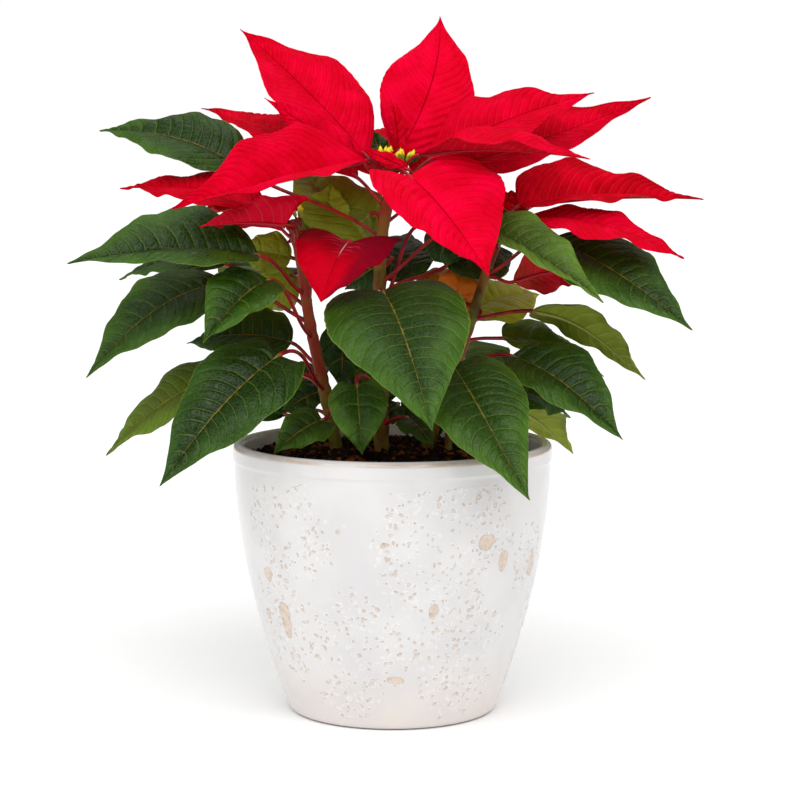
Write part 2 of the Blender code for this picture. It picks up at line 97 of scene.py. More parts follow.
# Skin of a blade: how sharp the creases at the veins are, where the swelling fades, and its unevenness
BRACT_CREASE = 2.0
LEAF_CREASE = 0.8
MEAN_SWELLING = 0.55
MIDRIB_FADE = 0.14
MARGIN_FADE = 0.25
BASE_FADE = 0.08
TIP_FADE = 0.15
SIDE_VEIN_WAVE = (0.30, 1.7)
EVEN_SHARE = 0.25
DENT_HEIGHT = 0.00035
RIPPLE_HEIGHT = 0.0005
RIPPLES = 6.3

# Ragged margin: how high its waves are as shares of the width, how many, and their first phase
RAGGED_WAVES = [(0.007, 6, 4), (0.005, 19, 6)]

# Stalk: how far it swells at the stem and at the blade, then the midrib as shares of the stalk's radius
STEM_SWELL = 0.55
STEM_SWELL_REACH = 2.2 * MM
BLADE_SWELL = 0.12
MIDRIB_END = 0.97
MIDRIB_GIRTH = 1.12
MIDRIB_TAPER = 1.3
MIDRIB_TIP = 0.05
MIDRIB_SINK = 0.8
SINK_START = 0.06

# Kinks of the surface sharper than these stay sharp
BLADE_SHARP = math.radians(75)
BARK_SHARP = math.radians(60)
SOIL_SHARP = math.radians(35)

Stem = namedtuple("Stem", "points foot_radius top_radius")

# Outline, lobe, notch and wave as in the solids, the stalk's radius in millimetres, then the side
# veins: their spacing in metres, how far they slant and arch towards the tip, and how high the skin
# bulges between them
Kind = namedtuple(
    "Kind", "base_power tip_power lobe scallop wave petiole_radius vein_spacing slant arch bulge"
)

STEMS = {
    "centre": Stem([(-6, 2, 116), (-6, 0, 160), (-7, -3, 228), (-6, -3, 262), (1, 0, 302)], 4.2, 2.9),
    "left": Stem([(-27, 12, 116), (-34, 8, 160), (-45, -2, 213), (-50, -10, 250), (-54, -14, 270)], 3.9, 2.5),
    "right": Stem([(15, 8, 116), (24, 8, 160), (41, 10, 208), (53, 12, 245), (63, 12, 274)], 3.5, 2.4),
}

KINDS = {
    "bract": Kind(0.95, 1.55, 0.02, 0.025, 0.0016, 0.95, 0.0054, 0.15, 0.14, 0.00085),
    "broad": Kind(0.45, 1.40, 0.12, 0.02, 0.0016, 0.95, 0.0054, 0.15, 0.14, 0.00085),
    "delta": Kind(0.20, 1.05, 0.58, 0.02, 0.0014, 0.95, 0.0050, 0.25, 0.10, 0.00020),
    "wing": Kind(0.55, 1.40, 0.55, 0.02, 0.0016, 0.95, 0.0054, 0.15, 0.14, 0.00085),
    "arrow": Kind(0.20, 1.05, 0.88, 0.02, 0.0014, 0.95, 0.0050, 0.25, 0.10, 0.00020),
    "leaf": Kind(0.75, 1.45, 0.10, 0.018, 0.0012, 1.05, 0.0072, 0.08, 0.14, 0.00085),
    "heart": Kind(0.58, 1.30, 0.50, 0.015, 0.0010, 1.05, 0.0072, 0.08, 0.14, 0.00085),
}

# Short shoots that come up beside the stems
SHOOTS = {
    "shoot_1": Stem([(-7, -4, 134), (-8, -2, 148), (-11, 4, 162), (-12, 8, 174)], 2.4, 1.6),
    "shoot_2": Stem([(31, 4, 134), (31, 6, 148), (32, 10, 160), (33, 14, 170)], 2.6, 1.6),
    "shoot_3": Stem([(19, 18, 134), (18, 20, 146), (15, 22, 156), (14, 24, 166)], 2.2, 1.4),
}

# Groups of pits in the glaze: turn from the front in degrees, then height, half width and half height
# in millimetres, and how bare the middle is. The back of the pot carries the same groups again.
PIT_GROUPS = [
    (-42, 112, 24, 26, 0.6), (-50, 56, 17, 32, 0.0), (-17, 49, 28, 26, 0.35), (18, 104, 32, 38, 0.75),
    (21, 70, 12, 15, 0.0), (32, 40, 28, 31, 0.4), (-22, 16, 19, 9, 0.1), (62, 92, 13, 17, 0.2),
    (27, 130, 19, 7, 0.2), (80, 50, 12, 34, 0.3),
]

# Large sores of the glaze, in the same terms
SORES = [(36, 105, 5, 4.5), (45, 93, 3, 6), (1, 30, 5, 2.2), (-49, 60, 4, 10), (-55, 84, 4, 4),
         (16, 69, 2.5, 4), (66, 88, 3, 7)]


# Node trees: sums on sockets are written as on numbers

class Value:
    """One output socket of a node tree."""

    def __init__(self, tree, socket):
        self.tree = tree
        self.socket = socket

    def math(self, operation, *others):
        return self.tree.node("ShaderNodeMath", dict(enumerate((self, *others))), operation=operation)

    def __add__(self, other):
        return self.math("ADD", other)

    def __sub__(self, other):
        return self.math("SUBTRACT", other)

    def __mul__(self, other):
        return self.math("MULTIPLY", other)

    def __truediv__(self, other):
        return self.math("DIVIDE", other)

    def __pow__(self, other):
        return self.math("POWER", other)

    def __rsub__(self, other):
        return (self * -1).math("ADD", other)

    __radd__ = __add__
    __rmul__ = __mul__

    def smooth(self, low, high):
        """0 up to low, 1 from high on, and a smooth rise between them."""
        values = {"Value": self, "From Min": low, "From Max": high}
        return self.tree.node("ShaderNodeMapRange", values, interpolation_type="SMOOTHSTEP")

    def between(self, low, high):
        """0 up to low, 1 from high on, and a straight rise between them."""
        return self.tree.node("ShaderNodeMapRange", {"Value": self, "From Min": low, "From Max": high})


class Tree:
    """Adds nodes to a shader or geometry tree."""

    def __init__(self, nodes):
        self.nodes = nodes.nodes
        self.links = nodes.links

    def node(self, kind, values=None, output=0, **settings):
        """New node with its settings, then its sockets' values or links; gives back one output."""
        new = self.nodes.new(kind)
        for name, value in settings.items():
            setattr(new, name, value)
        for name, value in (values or {}).items():
            self.feed(self.find(new.inputs, name), value)
        return Value(self, self.find(new.outputs, output))

    def find(self, sockets, name):
        shown = [socket for socket in sockets if socket.enabled]
        return shown[name] if isinstance(name, int) else next(s for s in shown if s.name == name)

    def feed(self, socket, value):
        if isinstance(value, Value):
            self.links.new(value.socket, socket)
        elif socket.type == "RGBA":
            socket.default_value = (*value[:3], 1)
        else:
            socket.default_value = value

    def mix(self, share, low, high):
        """From the colour low at 0 to the colour high at 1."""
        return self.node("ShaderNodeMix", {"Factor": share, "A": low, "B": high}, "Result", data_type="RGBA")

    def vector(self, operation, *values):
        return self.node("ShaderNodeVectorMath", dict(enumerate(values)), operation=operation)

    def scaled(self, vector, amount):
        return self.node("ShaderNodeVectorMath", {0: vector, "Scale": amount}, operation="SCALE")

    def parts(self, vector):
        return [self.node("ShaderNodeSeparateXYZ", {0: vector}, axis) for axis in "XYZ"]

    def combine(self, x, y, z):
        return self.node("ShaderNodeCombineXYZ", {0: x, 1: y, 2: z})

    def noise(self, place, scale, detail=2.0, output=0):
        return self.node("ShaderNodeTexNoise", {"Vector": place, "Scale": scale, "Detail": detail}, output)

    def cells(self, place, scale, output="Distance"):
        """Distance from the middle of the nearest random cell, or that cell's random colour."""
        return self.node("ShaderNodeTexVoronoi", {"Vector": place, "Scale": scale}, output)

    def net(self, place, scale):
        """Distance from a net of fine lines round random cells."""
        values = {"Vector": place, "Scale": scale}
        return self.node("ShaderNodeTexVoronoi", values, "Distance", feature="DISTANCE_TO_EDGE")

    def random(self, color):
        """One number from a random colour."""
        return self.node("ShaderNodeSeparateXYZ", {0: color})

    def draw(self, seed, low=0.0, high=1.0):
        """A random number or vector between two ends for each point."""
        kind = "FLOAT_VECTOR" if isinstance(low, tuple) else "FLOAT"
        return self.node("FunctionNodeRandomValue", {"Min": low, "Max": high, "Seed": seed}, data_type=kind)

    def mark(self, shape, name, value, domain="POINT"):
        """Shape with a named number on its points or instances."""
        values = {"Geometry": shape, "Name": name, "Value": value}
        return self.node("GeometryNodeStoreNamedAttribute", values, data_type="FLOAT", domain=domain)


class Look(Tree):
    """A material that is being made."""

    def __init__(self, name, **constants):
        self.material = bpy.data.materials.new(name)
        self.material.use_nodes = True
        super().__init__(self.material.node_tree)
        self.shader = self.nodes["Principled BSDF"]
        for socket, value in constants.items():
            self.feed(self.shader.inputs[socket.replace("_", " ")], value)

    def place(self):
        return self.node("ShaderNodeTexCoord", output="Object")

    def map(self, name):
        """The two numbers of a UV map."""
        return self.parts(self.node("ShaderNodeUVMap", uv_map=name))[:2]

    def attribute(self, name):
        return self.node("ShaderNodeAttribute", output="Fac", attribute_name=name)

    def paint(self, color, roughness=None):
        self.feed(self.shader.inputs["Base Color"], color)
        if roughness is not None:
            self.feed(self.shader.inputs["Roughness"], roughness)

    def raise_by(self, height):
        """Bump from a height in millimetres."""
        bump = self.node("ShaderNodeBump", {"Height": height, "Distance": MM, "Strength": 1.0})
        self.feed(self.shader.inputs["Normal"], bump)

    def shine_through(self, color, share):
        """Lets part of the light through, as a thin leaf does."""
        through = self.node("ShaderNodeBsdfTranslucent", {"Color": color})
        skin = Value(self, self.shader.outputs[0])
        mixed = self.node("ShaderNodeMixShader", {0: share, 1: skin, 2: through})
        self.feed(self.nodes["Material Output"].inputs["Surface"], mixed)


def color(red, green, blue):
    """Linear colour from the usual 0 to 255."""
    return tuple((channel / 255) ** 2.2 for channel in (red, green, blue))


# Blades

def unit(vectors):
    return vectors / np.linalg.norm(vectors, axis=-1, keepdims=True)


def bezier(points, share):
    share = np.asarray(share, float)[..., None]
    rest = 1 - share
    return (
        points[0] * rest ** 3
        + points[1] * 3 * rest ** 2 * share
        + points[2] * 3 * rest * share ** 2
        + points[3] * share ** 3
    )


def bezier_slope(points, share):
    share = np.asarray(share, float)[..., None]
    rest = 1 - share
    return unit(
        (points[1] - points[0]) * rest ** 2
        + (points[2] - points[1]) * 2 * rest * share
        + (points[3] - points[2]) * share ** 2
    )


def plateau(share, start, end):
    """0 at both ends of a share, and 1 from start on, until end is left."""
    return np.clip(share / start, 0, 1) * np.clip((1 - share) / end, 0, 1)


def inner_part(v):
    """1 in the middle of the blade and 0 at its base and tip."""
    return np.sqrt(np.clip(4 * v * (1 - v), 0, 1))


def stem_axis(stem, z):
    """Point on a stem's axis at a height, on a smooth curve through the stem's points."""
    points = [np.array(point) * MM for point in stem.points]
    index = 0
    while index < len(points) - 2 and z > points[index + 1][2]:
        index += 1
    low, high = points[index], points[index + 1]
    before = points[max(index - 1, 0)]
    after = points[min(index + 2, len(points) - 1)]
    span = high[2] - low[2]
    share = (z - low[2]) / span
    slope_low = (high - before) / (high[2] - before[2]) * span
    slope_high = (after - low) / (after[2] - low[2]) * span
    point = (
        low * (2 * share ** 3 - 3 * share ** 2 + 1)
        + slope_low * (share ** 3 - 2 * share ** 2 + share)
        + high * (3 * share ** 2 - 2 * share ** 3)
        + slope_high * (share ** 3 - share ** 2)
    )
    return np.array((point[0], point[1], z))


def stem_direction(stem, z):
    return unit(stem_axis(stem, z + MM) - stem_axis(stem, z - MM))


def stem_radius(stem, z):
    bottom = stem.points[0][2] * MM
    share = (z - bottom) / (stem.points[-1][2] * MM - bottom)
    return (stem.foot_radius + (stem.top_radius - stem.foot_radius) * share) * MM


class Blade:
    """A leaf or a bract, in the same terms as its solid, with its side veins and unevenness."""

    def __init__(self, name, stem, height, base, tip, width, face,
                 arch=0.09, fold=10, curl=0.12, bend=0.0, lean=-0.2, kind="", skew=0.0):
        self.name = name
        self.stem = {**STEMS, **SHOOTS}[stem]
        self.height = height * MM
        self.half = width * MM / 2
        self.is_bract = name.startswith("bract")
        self.kind = KINDS[kind or ("bract" if self.is_bract else "leaf")]
        self.fold = math.radians(fold)
        self.curl = curl
        self.skew = skew
        base, tip = np.array(base) * MM, np.array(tip) * MM
        chord = tip - base
        self.length = np.linalg.norm(chord)
        along = chord / self.length
        face = np.array(face, float)
        self.up = unit(face - along * (face @ along))
        bow = np.cross(along, self.up) * self.length * bend / CURVE_SHARE
        rise = self.up * self.length * arch / CURVE_SHARE
        near = base + chord / 3 + bow + rise * (1 - lean)
        far = base + chord * 2 / 3 + bow + rise * (1 + lean)
        self.midrib = (base, near, far, tip)
        draw = random.Random(name)
        self.phases = [draw.uniform(0, FULL_TURN) for _ in range(16)]
        self.veins = round(self.length / self.kind.vein_spacing)

    def frame(self, v):
        """Side, up and forward directions at a share v of the midrib."""
        forward = bezier_slope(self.midrib, v)
        side = unit(np.cross(forward, self.up))
        return side, np.cross(side, forward), forward

    def profile(self, v):
        """Width at v as a share of the full width, without lobes and notches."""
        kind = self.kind
        peak = kind.base_power / (kind.base_power + kind.tip_power)
        return (v / peak) ** kind.base_power * ((1 - v) / (1 - peak)) ** kind.tip_power

    def swing(self, right, v, turns, first):
        """Wave along the blade, with a phase for its right half and another one for its left."""
        return np.sin(FULL_TURN * turns * v + np.where(right, self.phases[first], self.phases[first + 1]))

    def swell(self, u, v, across, along, phase):
        """Slanting wave over the whole blade."""
        return np.sin(FULL_TURN * (across * u + along * v) + self.phases[phase])

    def outline(self, u, v):
        right = u > 0
        ragged = sum(height * self.swing(right, v, count, first) for height, count, first in RAGGED_WAVES)
        share = np.where(right, 1 - self.skew, 1 + self.skew)
        notch = self.kind.scallop * self.swing(right, v, NOTCHES, 0)
        return self.half * share * self.profile(v) * (1 + notch + ragged)

    def vein_place(self, u, v, right):
        """Place among the side veins: a whole number on a vein, a half between two."""
        out = np.abs(u)
        rise = self.kind.slant * out + self.kind.arch * out ** 3
        along = v - rise * (EVEN_SHARE + (1 - EVEN_SHARE) * self.profile(v))
        wander = SIDE_VEIN_WAVE[0] * self.swing(right, along, SIDE_VEIN_WAVE[1], 8)
        return along * self.veins + wander + np.where(right, self.phases[10], self.phases[11]) / FULL_TURN

    def relief(self, u, v):
        """Height of the skin between the veins, with a crease along the midrib."""
        out = np.abs(u)
        crease = BRACT_CREASE if self.is_bract else LEAF_CREASE
        arc = np.abs(np.sin(math.pi * self.vein_place(u, v, u > 0))) ** crease - MEAN_SWELLING
        arc *= 0.65 + 0.35 * self.swell(u, v, 1.4, 2.1, 12)
        arc *= 1 + 0.6 * self.swell(u, v, 2.3, -3.7, 13)
        inner = plateau(out, MIDRIB_FADE, MARGIN_FADE) * plateau(v, BASE_FADE, TIP_FADE)
        return self.kind.bulge * arc * inner

    def uneven(self, u, v):
        """Shallow random dents and swells, and the finer ripple of the margin."""
        out = np.abs(u)
        dents = self.swell(u, v, 1.1, 2.3, 12) + 0.8 * self.swell(u, v, 1.7, -3.1, 13)
        ripple = self.swing(u > 0, v, RIPPLES, 14)
        return DENT_HEIGHT * dents * out + RIPPLE_HEIGHT * ripple * out ** 4 * inner_part(v)

    def point(self, u, v):
        """Points of the blade's middle surface: u from -1 to 1 across, v from 0 to 1 along."""
        side, up, forward = self.frame(v)
        out = np.abs(u)
        width = self.outline(u, v)
        wave = self.kind.wave * self.swing(u > 0, v, WAVES, 2)
        lift = width * (out * math.sin(self.fold) + SWELL * out * (1 - out) - self.curl * out ** 2)
        lift += wave * out ** 2 * inner_part(v)
        lift += self.uneven(u, v) + self.relief(u, v)
        lobe = self.kind.lobe * (1 + LOBE_SKEW * self.skew * np.where(u > 0, 1, -1))
        back = lobe * self.half * out * (1 - v) ** LOBE_POWER * np.minimum(v / LOBE_START, 1)
        across = (width * u * math.cos(self.fold))[..., None]
        return bezier(self.midrib, v) + side * across + up * lift[..., None] - forward * back[..., None]

    def petiole(self):
        """Control points of the petiole's curve, whose foot has grown into the stem."""
        axis_point = stem_axis(self.stem, self.height)
        axis = stem_direction(self.stem, self.height)
        outward = self.midrib[0] - axis_point
        outward = unit(outward - axis * (outward @ axis))
        start = outward * math.sin(PETIOLE_ANGLE) + axis * math.cos(PETIOLE_ANGLE)
        reach = stem_radius(self.stem, self.height) - FOOT_DEPTH
        foot = axis_point + start * (reach / math.sin(PETIOLE_ANGLE))
        base = self.midrib[0]
        span = np.linalg.norm(base - foot) / 3
        return (foot, foot + start * span, base - bezier_slope(self.midrib, 0.0) * span, base)


def sheet_rows(blade):
    """Shares of the midrib where the sheet has a row, closer together near both ends."""
    rows = max(LEAST_ROWS, round(blade.length / (BRACT_ROW if blade.is_bract else LEAF_ROW)))
    even = np.arange(1, rows) / rows
    return (1 - END_CROWDING) * even + END_CROWDING / 2 * (1 - np.cos(math.pi * even))


def sheet(blade):
    """Upper and lower skin, closed at the margin: points, faces, and u, v of each point."""
    v = sheet_rows(blade)
    half_columns = max(LEAST_COLUMNS, round(blade.half / COLUMN))
    u = np.linspace(-1, 1, 2 * half_columns + 1)
    wide, high = np.meshgrid(u, v)
    middle = blade.point(wide, high)
    across = np.gradient(middle, axis=1)
    along = np.gradient(middle, axis=0)
    normal = unit(np.cross(across, along))
    inside = (np.sqrt(1 - wide ** 2) * SHEET_THICKNESS / 2)[..., None]
    upper = middle + normal * inside
    lower = (middle - normal * inside)[:, 1:-1]
    rows, columns = wide.shape
    ends = np.stack([blade.midrib[0], blade.midrib[3]])
    points = np.concatenate([ends, upper.reshape(-1, 3), lower.reshape(-1, 3)])
    spread = np.stack([wide, high], -1)
    place = np.concatenate([[(0, 0), (0, 1)], spread.reshape(-1, 2), spread[:, 1:-1].reshape(-1, 2)])
    top = 2 + np.arange(rows * columns).reshape(rows, columns)
    under = top.copy()
    under[:, 1:-1] = 2 + rows * columns + np.arange(rows * (columns - 2)).reshape(rows, columns - 2)
    return points, place, skin_faces(top), [face[::-1] for face in skin_faces(under)]


def skin_faces(grid):
    """Faces of one skin, from the pole at its base to the pole at its tip."""
    quads = np.stack([grid[:-1, :-1], grid[:-1, 1:], grid[1:, 1:], grid[1:, :-1]], -1).reshape(-1, 4)
    first, last = grid[0], grid[-1]
    faces = [(0, b, a) for a, b in zip(first[:-1].tolist(), first[1:].tolist())]
    faces += quads.tolist()
    return faces + [(a, b, 1) for a, b in zip(last[:-1].tolist(), last[1:].tolist())]


def stalk(blade):
    """Petiole that runs on as the midrib under the blade: rings of points, and how far along each is."""
    path = blade.petiole()
    length = np.linalg.norm(path[3] - path[0])
    count = max(8, math.ceil(length / PETIOLE_STEP))
    radius = blade.kind.petiole_radius * MM
    side, up, _ = blade.frame(0.0)
    rings, marks = [], []
    for step in range(count, -1, -1):
        share = step / count
        direction = bezier_slope(path, share)
        side = unit(side - direction * (side @ direction))
        up = np.cross(side, direction)
        swollen = 1 + STEM_SWELL * math.exp(-share * length / STEM_SWELL_REACH) + BLADE_SWELL * share ** 6
        rings.append(ring(bezier(path, share), side, up, radius * swollen))
        marks.append(share)
    rings.reverse()
    marks.reverse()
    steps = max(10, round(blade.length / MIDRIB_STEP))
    for step in range(1, steps):
        share = MIDRIB_END * step / steps
        side, up, _ = blade.frame(share)
        slim = radius * (MIDRIB_GIRTH * (1 - share) ** MIDRIB_TAPER + MIDRIB_TIP)
        sink = slim * min(share / SINK_START, 1.0) * MIDRIB_SINK
        center = blade.point(np.array(0.0), np.array(share)) - up * (sink + SHEET_THICKNESS * 0.3)
        rings.append(ring(center, side, up, slim))
        marks.append(1 + share)
    return np.array(rings), marks


def ring(center, side, up, radius, turns=TUBE_TURNS):
    return center + radius * (np.cos(turns)[:, None] * side + np.sin(turns)[:, None] * up)


def tube_faces(rings, sides, first):
    """Walls and end caps of a tube whose rings turn from side to up, and go forward."""
    faces = []
    for row in range(rings - 1):
        for k in range(sides):
            a = first + row * sides + k
            b = first + row * sides + (k + 1) % sides
            faces.append((a, a + sides, b + sides, b))
    faces.append(tuple(first + k for k in range(sides)))
    last = first + (rings - 1) * sides
    faces.append(tuple(last + k for k in reversed(range(sides))))
    return faces


def make_blade(blade, looks, tone_and_painted_shade, node):
    points, place, top, under = sheet(blade)
    rings, marks = stalk(blade)
    tube = tube_faces(len(rings), TUBE_SIDES, len(points))
    tube_place = np.repeat(np.array(marks), TUBE_SIDES)
    place = np.concatenate([place, np.stack([np.zeros(len(tube_place)), tube_place], -1)])
    faces = top + under + tube
    mesh = bpy.data.meshes.new(blade.name)
    mesh.from_pydata(np.concatenate([points, rings.reshape(-1, 3)]).tolist(), [], faces)
    slots = np.repeat([0, 1, 2], [len(top), len(under), len(tube)])
    mesh.polygons.foreach_set("material_index", slots)
    for look in looks:
        mesh.materials.append(look)
    paint_maps(mesh, blade, place, faces, tone_and_painted_shade)
    mesh.shade_smooth()
    mesh.set_sharp_from_angle(angle=BLADE_SHARP)
    hand_over(blade.name + "_skin", mesh, node)


def paint_maps(mesh, blade, place, faces, tone_and_painted_shade):
    """Three maps: u and v on the blade, the place among the side veins, and how light and how flushed the
    blade is, where its lightness is partly its own colour and partly painted shade and light.
    """
    sizes = np.array([len(face) for face in faces])
    corners = np.concatenate([np.asarray(face) for face in faces])
    u, v = place[corners].T
    owner = np.repeat(np.arange(len(faces)), sizes)
    right = (np.bincount(owner, u) > 0)[owner]
    veins = blade.vein_place(u, np.clip(v, 0, 1), right)
    maps = {
        "blade": np.stack([u, v], -1),
        "veins": np.stack([veins, np.abs(u) * blade.half / MM], -1),
        "tone_and_painted_shade": np.broadcast_to(np.array(tone_and_painted_shade, float), (len(u), 2)),
    }
    for name, values in maps.items():
        layer = mesh.uv_layers.new(name=name)
        layer.uv.foreach_set("vector", values.astype(np.float32).ravel())


def hand_over(name, mesh, node):
    """Makes a piece of the object; it takes the place of a node, or is added where node is None."""
    piece = bpy.data.objects.new(name, mesh)
    bpy.context.scene.collection.objects.link(piece)
    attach(piece, "root")
    if node:
        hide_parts(node)


# Blade materials

# Light that comes through a blade
RED_LIGHT = (0.90, 0.001, 0.006)
GREEN_LIGHT = (0.10, 0.26, 0.01)
YELLOW_GREEN_LIGHT = (0.10, 0.26, 0.02)


def vein_lines(look, width):
    """Distance from the nearest side vein, and masks of the side veins and of the midrib."""
    place, out = look.map("veins")
    shift = (look.noise(look.place(), 160) - 0.5) * 0.2
    apart = (place + shift).math("PINGPONG", 0.5)
    side_vein = 1 - apart.smooth(width * 0.35, width)
    midrib = 1 - out.smooth(0.12, 0.55)
    return apart, side_vein, midrib


def flushed(look, skin, flush, olive, orange):
    """Skin that turns olive up to a flush of 1, and then orange."""
    skin = look.mix(flush.between(0.0, 1.0), skin, olive)
    return look.mix(flush.between(1.0, 2.0), skin, orange)


def bract_face():
    look = Look("bract_face", Specular_IOR_Level=0.015)
    apart, side_vein, midrib = vein_lines(look, 0.05)
    place, out = look.map("veins")
    light, flush = look.map("tone_and_painted_shade")
    spot = look.place()
    patches = look.noise(spot, 70, 3)
    # How light the bract is comes from its blade's setting: partly its own colour, partly painted shade that
    # darkens bracts standing in shade.
    deep = look.mix(light, color(172, 0, 18), color(240, 0, 46))
    fresh = look.mix(light, color(214, 0, 30), color(255, 4, 62))
    skin = look.mix(patches.smooth(0.35, 0.68), deep, fresh)
    # Painted shade: the hollows along the side veins, where the relief lies in shade, are darkened.
    hollow = (1 - apart.smooth(0.0, 0.28)) * look.noise(spot, 110, 2).smooth(0.35, 0.65)
    skin = look.mix(hollow * 0.20, skin, color(156, 0, 20))
    skin = look.mix(side_vein * (0.34 - light * 0.28), skin, color(230, 74, 66))
    # Painted shade: darker red along the midrib's crease.
    skin = look.mix(midrib * 0.7, skin, color(128, 4, 22))
    skin = look.mix(flush, skin, maroon(look, place, out, patches))
    grain = look.net(spot, 400)
    wrinkle = (place * 2 + look.noise(spot, 130) * 0.7).math("PINGPONG", 0.5)
    height = (
        apart.smooth(0.0, 0.5) * 0.45
        + wrinkle.smooth(0.0, 0.5) * look.noise(spot, 90, 1).smooth(0.4, 0.65) * 0.10
        + grain.smooth(0.0, 0.25) * 0.10
        + look.noise(spot, 140, 3) * 1.2
        - midrib * 0.3
    )
    look.raise_by(height * (1 - flush * 0.85))
    look.paint(skin, 0.42 + patches * 0.16)
    look.shine_through(RED_LIGHT, 0.2)
    return look.material


def maroon(look, place, out, patches):
    """Colour of a bract that still ripens: dark round its base and towards one corner, with pale streaks."""
    across, along = look.map("blade")
    skin = look.mix((along + patches * 0.2).smooth(0.12, 0.66), color(88, 0, 14), color(198, 0, 34))
    corner = (across * -1 - along * 0.7 + patches * 0.5).smooth(0.0, 0.7)
    skin = look.mix(corner * 0.9, skin, color(92, 12, 32))
    streak = (place * 1.7 + look.noise(look.place(), 90, 2) * 2.4).math("PINGPONG", 0.5)
    streak = streak.smooth(0.30, 0.46)
    near = (1 - out.smooth(2.0, 16.0)) * (1 - along.smooth(0.12, 0.4)) * patches.smooth(0.38, 0.6)
    skin = look.mix(streak * near * 0.7, skin, color(232, 84, 116))
    rib = 1 - out.smooth(0.2, 0.4)
    skin = look.mix(rib * (1 - along.smooth(0.2, 0.4)) * 0.8, skin, color(240, 190, 180))
    return look.mix(rib * along.smooth(0.2, 0.4) * 0.8, skin, color(92, 24, 26))


def bract_back():
    look = Look("bract_back", Specular_IOR_Level=0.1)
    _, side_vein, _ = vein_lines(look, 0.08)
    _, along = look.map("blade")
    light, flush = look.map("tone_and_painted_shade")
    spot = look.place()
    patches = look.noise(spot, 70, 3)
    # How light the underside is comes from its blade's setting: partly its own colour, partly painted shade
    # for bracts that stand in shade.
    deep = look.mix(light, color(140, 0, 14), color(214, 6, 44))
    fresh = look.mix(light, color(176, 2, 28), color(242, 20, 62))
    skin = look.mix(patches.smooth(0.3, 0.7), deep, fresh)
    skin = look.mix(side_vein * 0.45, skin, color(214, 84, 60))
    skin = look.mix(flush * (1 - along.smooth(0.05, 0.55)) * 1.8, skin, color(88, 70, 16))
    look.raise_by(side_vein * 0.25 + look.net(spot, 420).smooth(0.0, 0.25) * -0.08)
    look.paint(skin, 0.55 + patches * 0.12)
    look.shine_through(RED_LIGHT, 0.2)
    return look.material


def leaf_face():
    look = Look("leaf_face", Specular_IOR_Level=0.26)
    apart, side_vein, midrib = vein_lines(look, 0.032)
    across, along = look.map("blade")
    light, flush = look.map("tone_and_painted_shade")
    spot = look.place()
    patches = look.noise(spot, 60, 3)
    # How light the leaf is comes from its blade's setting: partly its own colour, partly painted shade and
    # light, darker for leaves in shade and lighter for a few shaded ones.
    deep = look.mix(light, color(8, 28, 3), color(46, 76, 14))
    fresh = look.mix(light, color(28, 62, 10), color(96, 138, 38))
    edge = across.math("ABSOLUTE")
    toward = (edge * 0.55 + along * 0.45 + (patches - 0.5) * 0.8).smooth(0.25, 1.05)
    skin = look.mix(toward, deep, fresh)
    inner = 1 - edge.smooth(0.2, 0.8)
    grain = look.net(spot, 380)
    skin = look.mix((1 - grain.smooth(0.02, 0.09)) * 0.22, skin, color(84, 118, 50))
    skin = look.mix(side_vein * (0.18 + inner * 0.34), skin, color(122, 136, 56))
    beads = look.noise(spot, 300, 2).smooth(0.42, 0.58)
    skin = look.mix(midrib * (0.35 + beads * 0.5), skin, color(176, 138, 58))
    skin = look.mix(edge.smooth(0.97, 1.0) * 0.5, skin, color(130, 156, 56))
    # The olive and orange of young, flushed leaves are their own colours, made brighter as painted light for
    # leaves that stand in shade.
    skin = flushed(look, skin, flush, color(190, 198, 50), color(228, 84, 26))
    height = (
        apart.smooth(0.0, 0.22) * 0.34
        + grain.smooth(0.0, 0.25) * 0.14
        + look.noise(spot, 200, 3) * 0.55
        - midrib * 0.3
    )
    look.raise_by(height)
    look.paint(skin, 0.24 + patches * 0.22)
    look.shine_through(GREEN_LIGHT, 0.15)
    return look.material


def leaf_back():
    look = Look("leaf_back", Specular_IOR_Level=0.25)
    _, side_vein, _ = vein_lines(look, 0.09)
    _, flush = look.map("tone_and_painted_shade")
    spot = look.place()
    patches = look.noise(spot, 60, 3)
    skin = look.mix(patches.smooth(0.3, 0.7), color(70, 92, 30), color(104, 126, 44))
    skin = look.mix(side_vein * 0.5, skin, color(142, 154, 70))
    # The olive and orange of young, flushed leaves are their own colours, made brighter as painted light for
    # leaves that stand in shade.
    skin = flushed(look, skin, flush, color(194, 202, 56), color(228, 92, 30))
    look.raise_by(side_vein * 0.14 - look.net(spot, 480).smooth(0.0, 0.25) * 0.04)
    look.paint(skin, 0.6 + patches * 0.12)
    look.shine_through(YELLOW_GREEN_LIGHT, 0.15)
    return look.material


def stalk_skin(name, petiole, rib):
    """Two colours of the petiole in blotches, and one of the midrib, which it turns into."""
    look = Look(name, Specular_IOR_Level=0.35)
    _, along = look.map("blade")
    spot = look.place()
    blotch = look.noise(spot, 110, 3).smooth(0.35, 0.65)
    young = look.mix(blotch, color(*petiole[0]), color(*petiole[1]))
    skin = look.mix(along.smooth(0.96, 1.06), young, color(*rib))
    look.raise_by(look.noise(spot, 700, 3) * 0.05)
    look.paint(skin, 0.38)
    return look.material


# Stems

# Bark: its divisions, and how far it swells at a leaf stalk
BARK_SIDES = 22
BARK_STEP = 1.6 * MM
JOINT_REACH = 1.6 * MM
JOINT_SWELL = 0.10
MOST_JOINT_SWELL = 0.14

# Lengthwise ribs of the bark: height as a share of the radius, count, and twist for each metre
RIBS = [(0.022, 5, 40), (0.018, 3, -60)]

# Rings of the bark: height as a share of the radius, and how close together they are
RINGS = [(0.03, 420), (0.02, 910)]


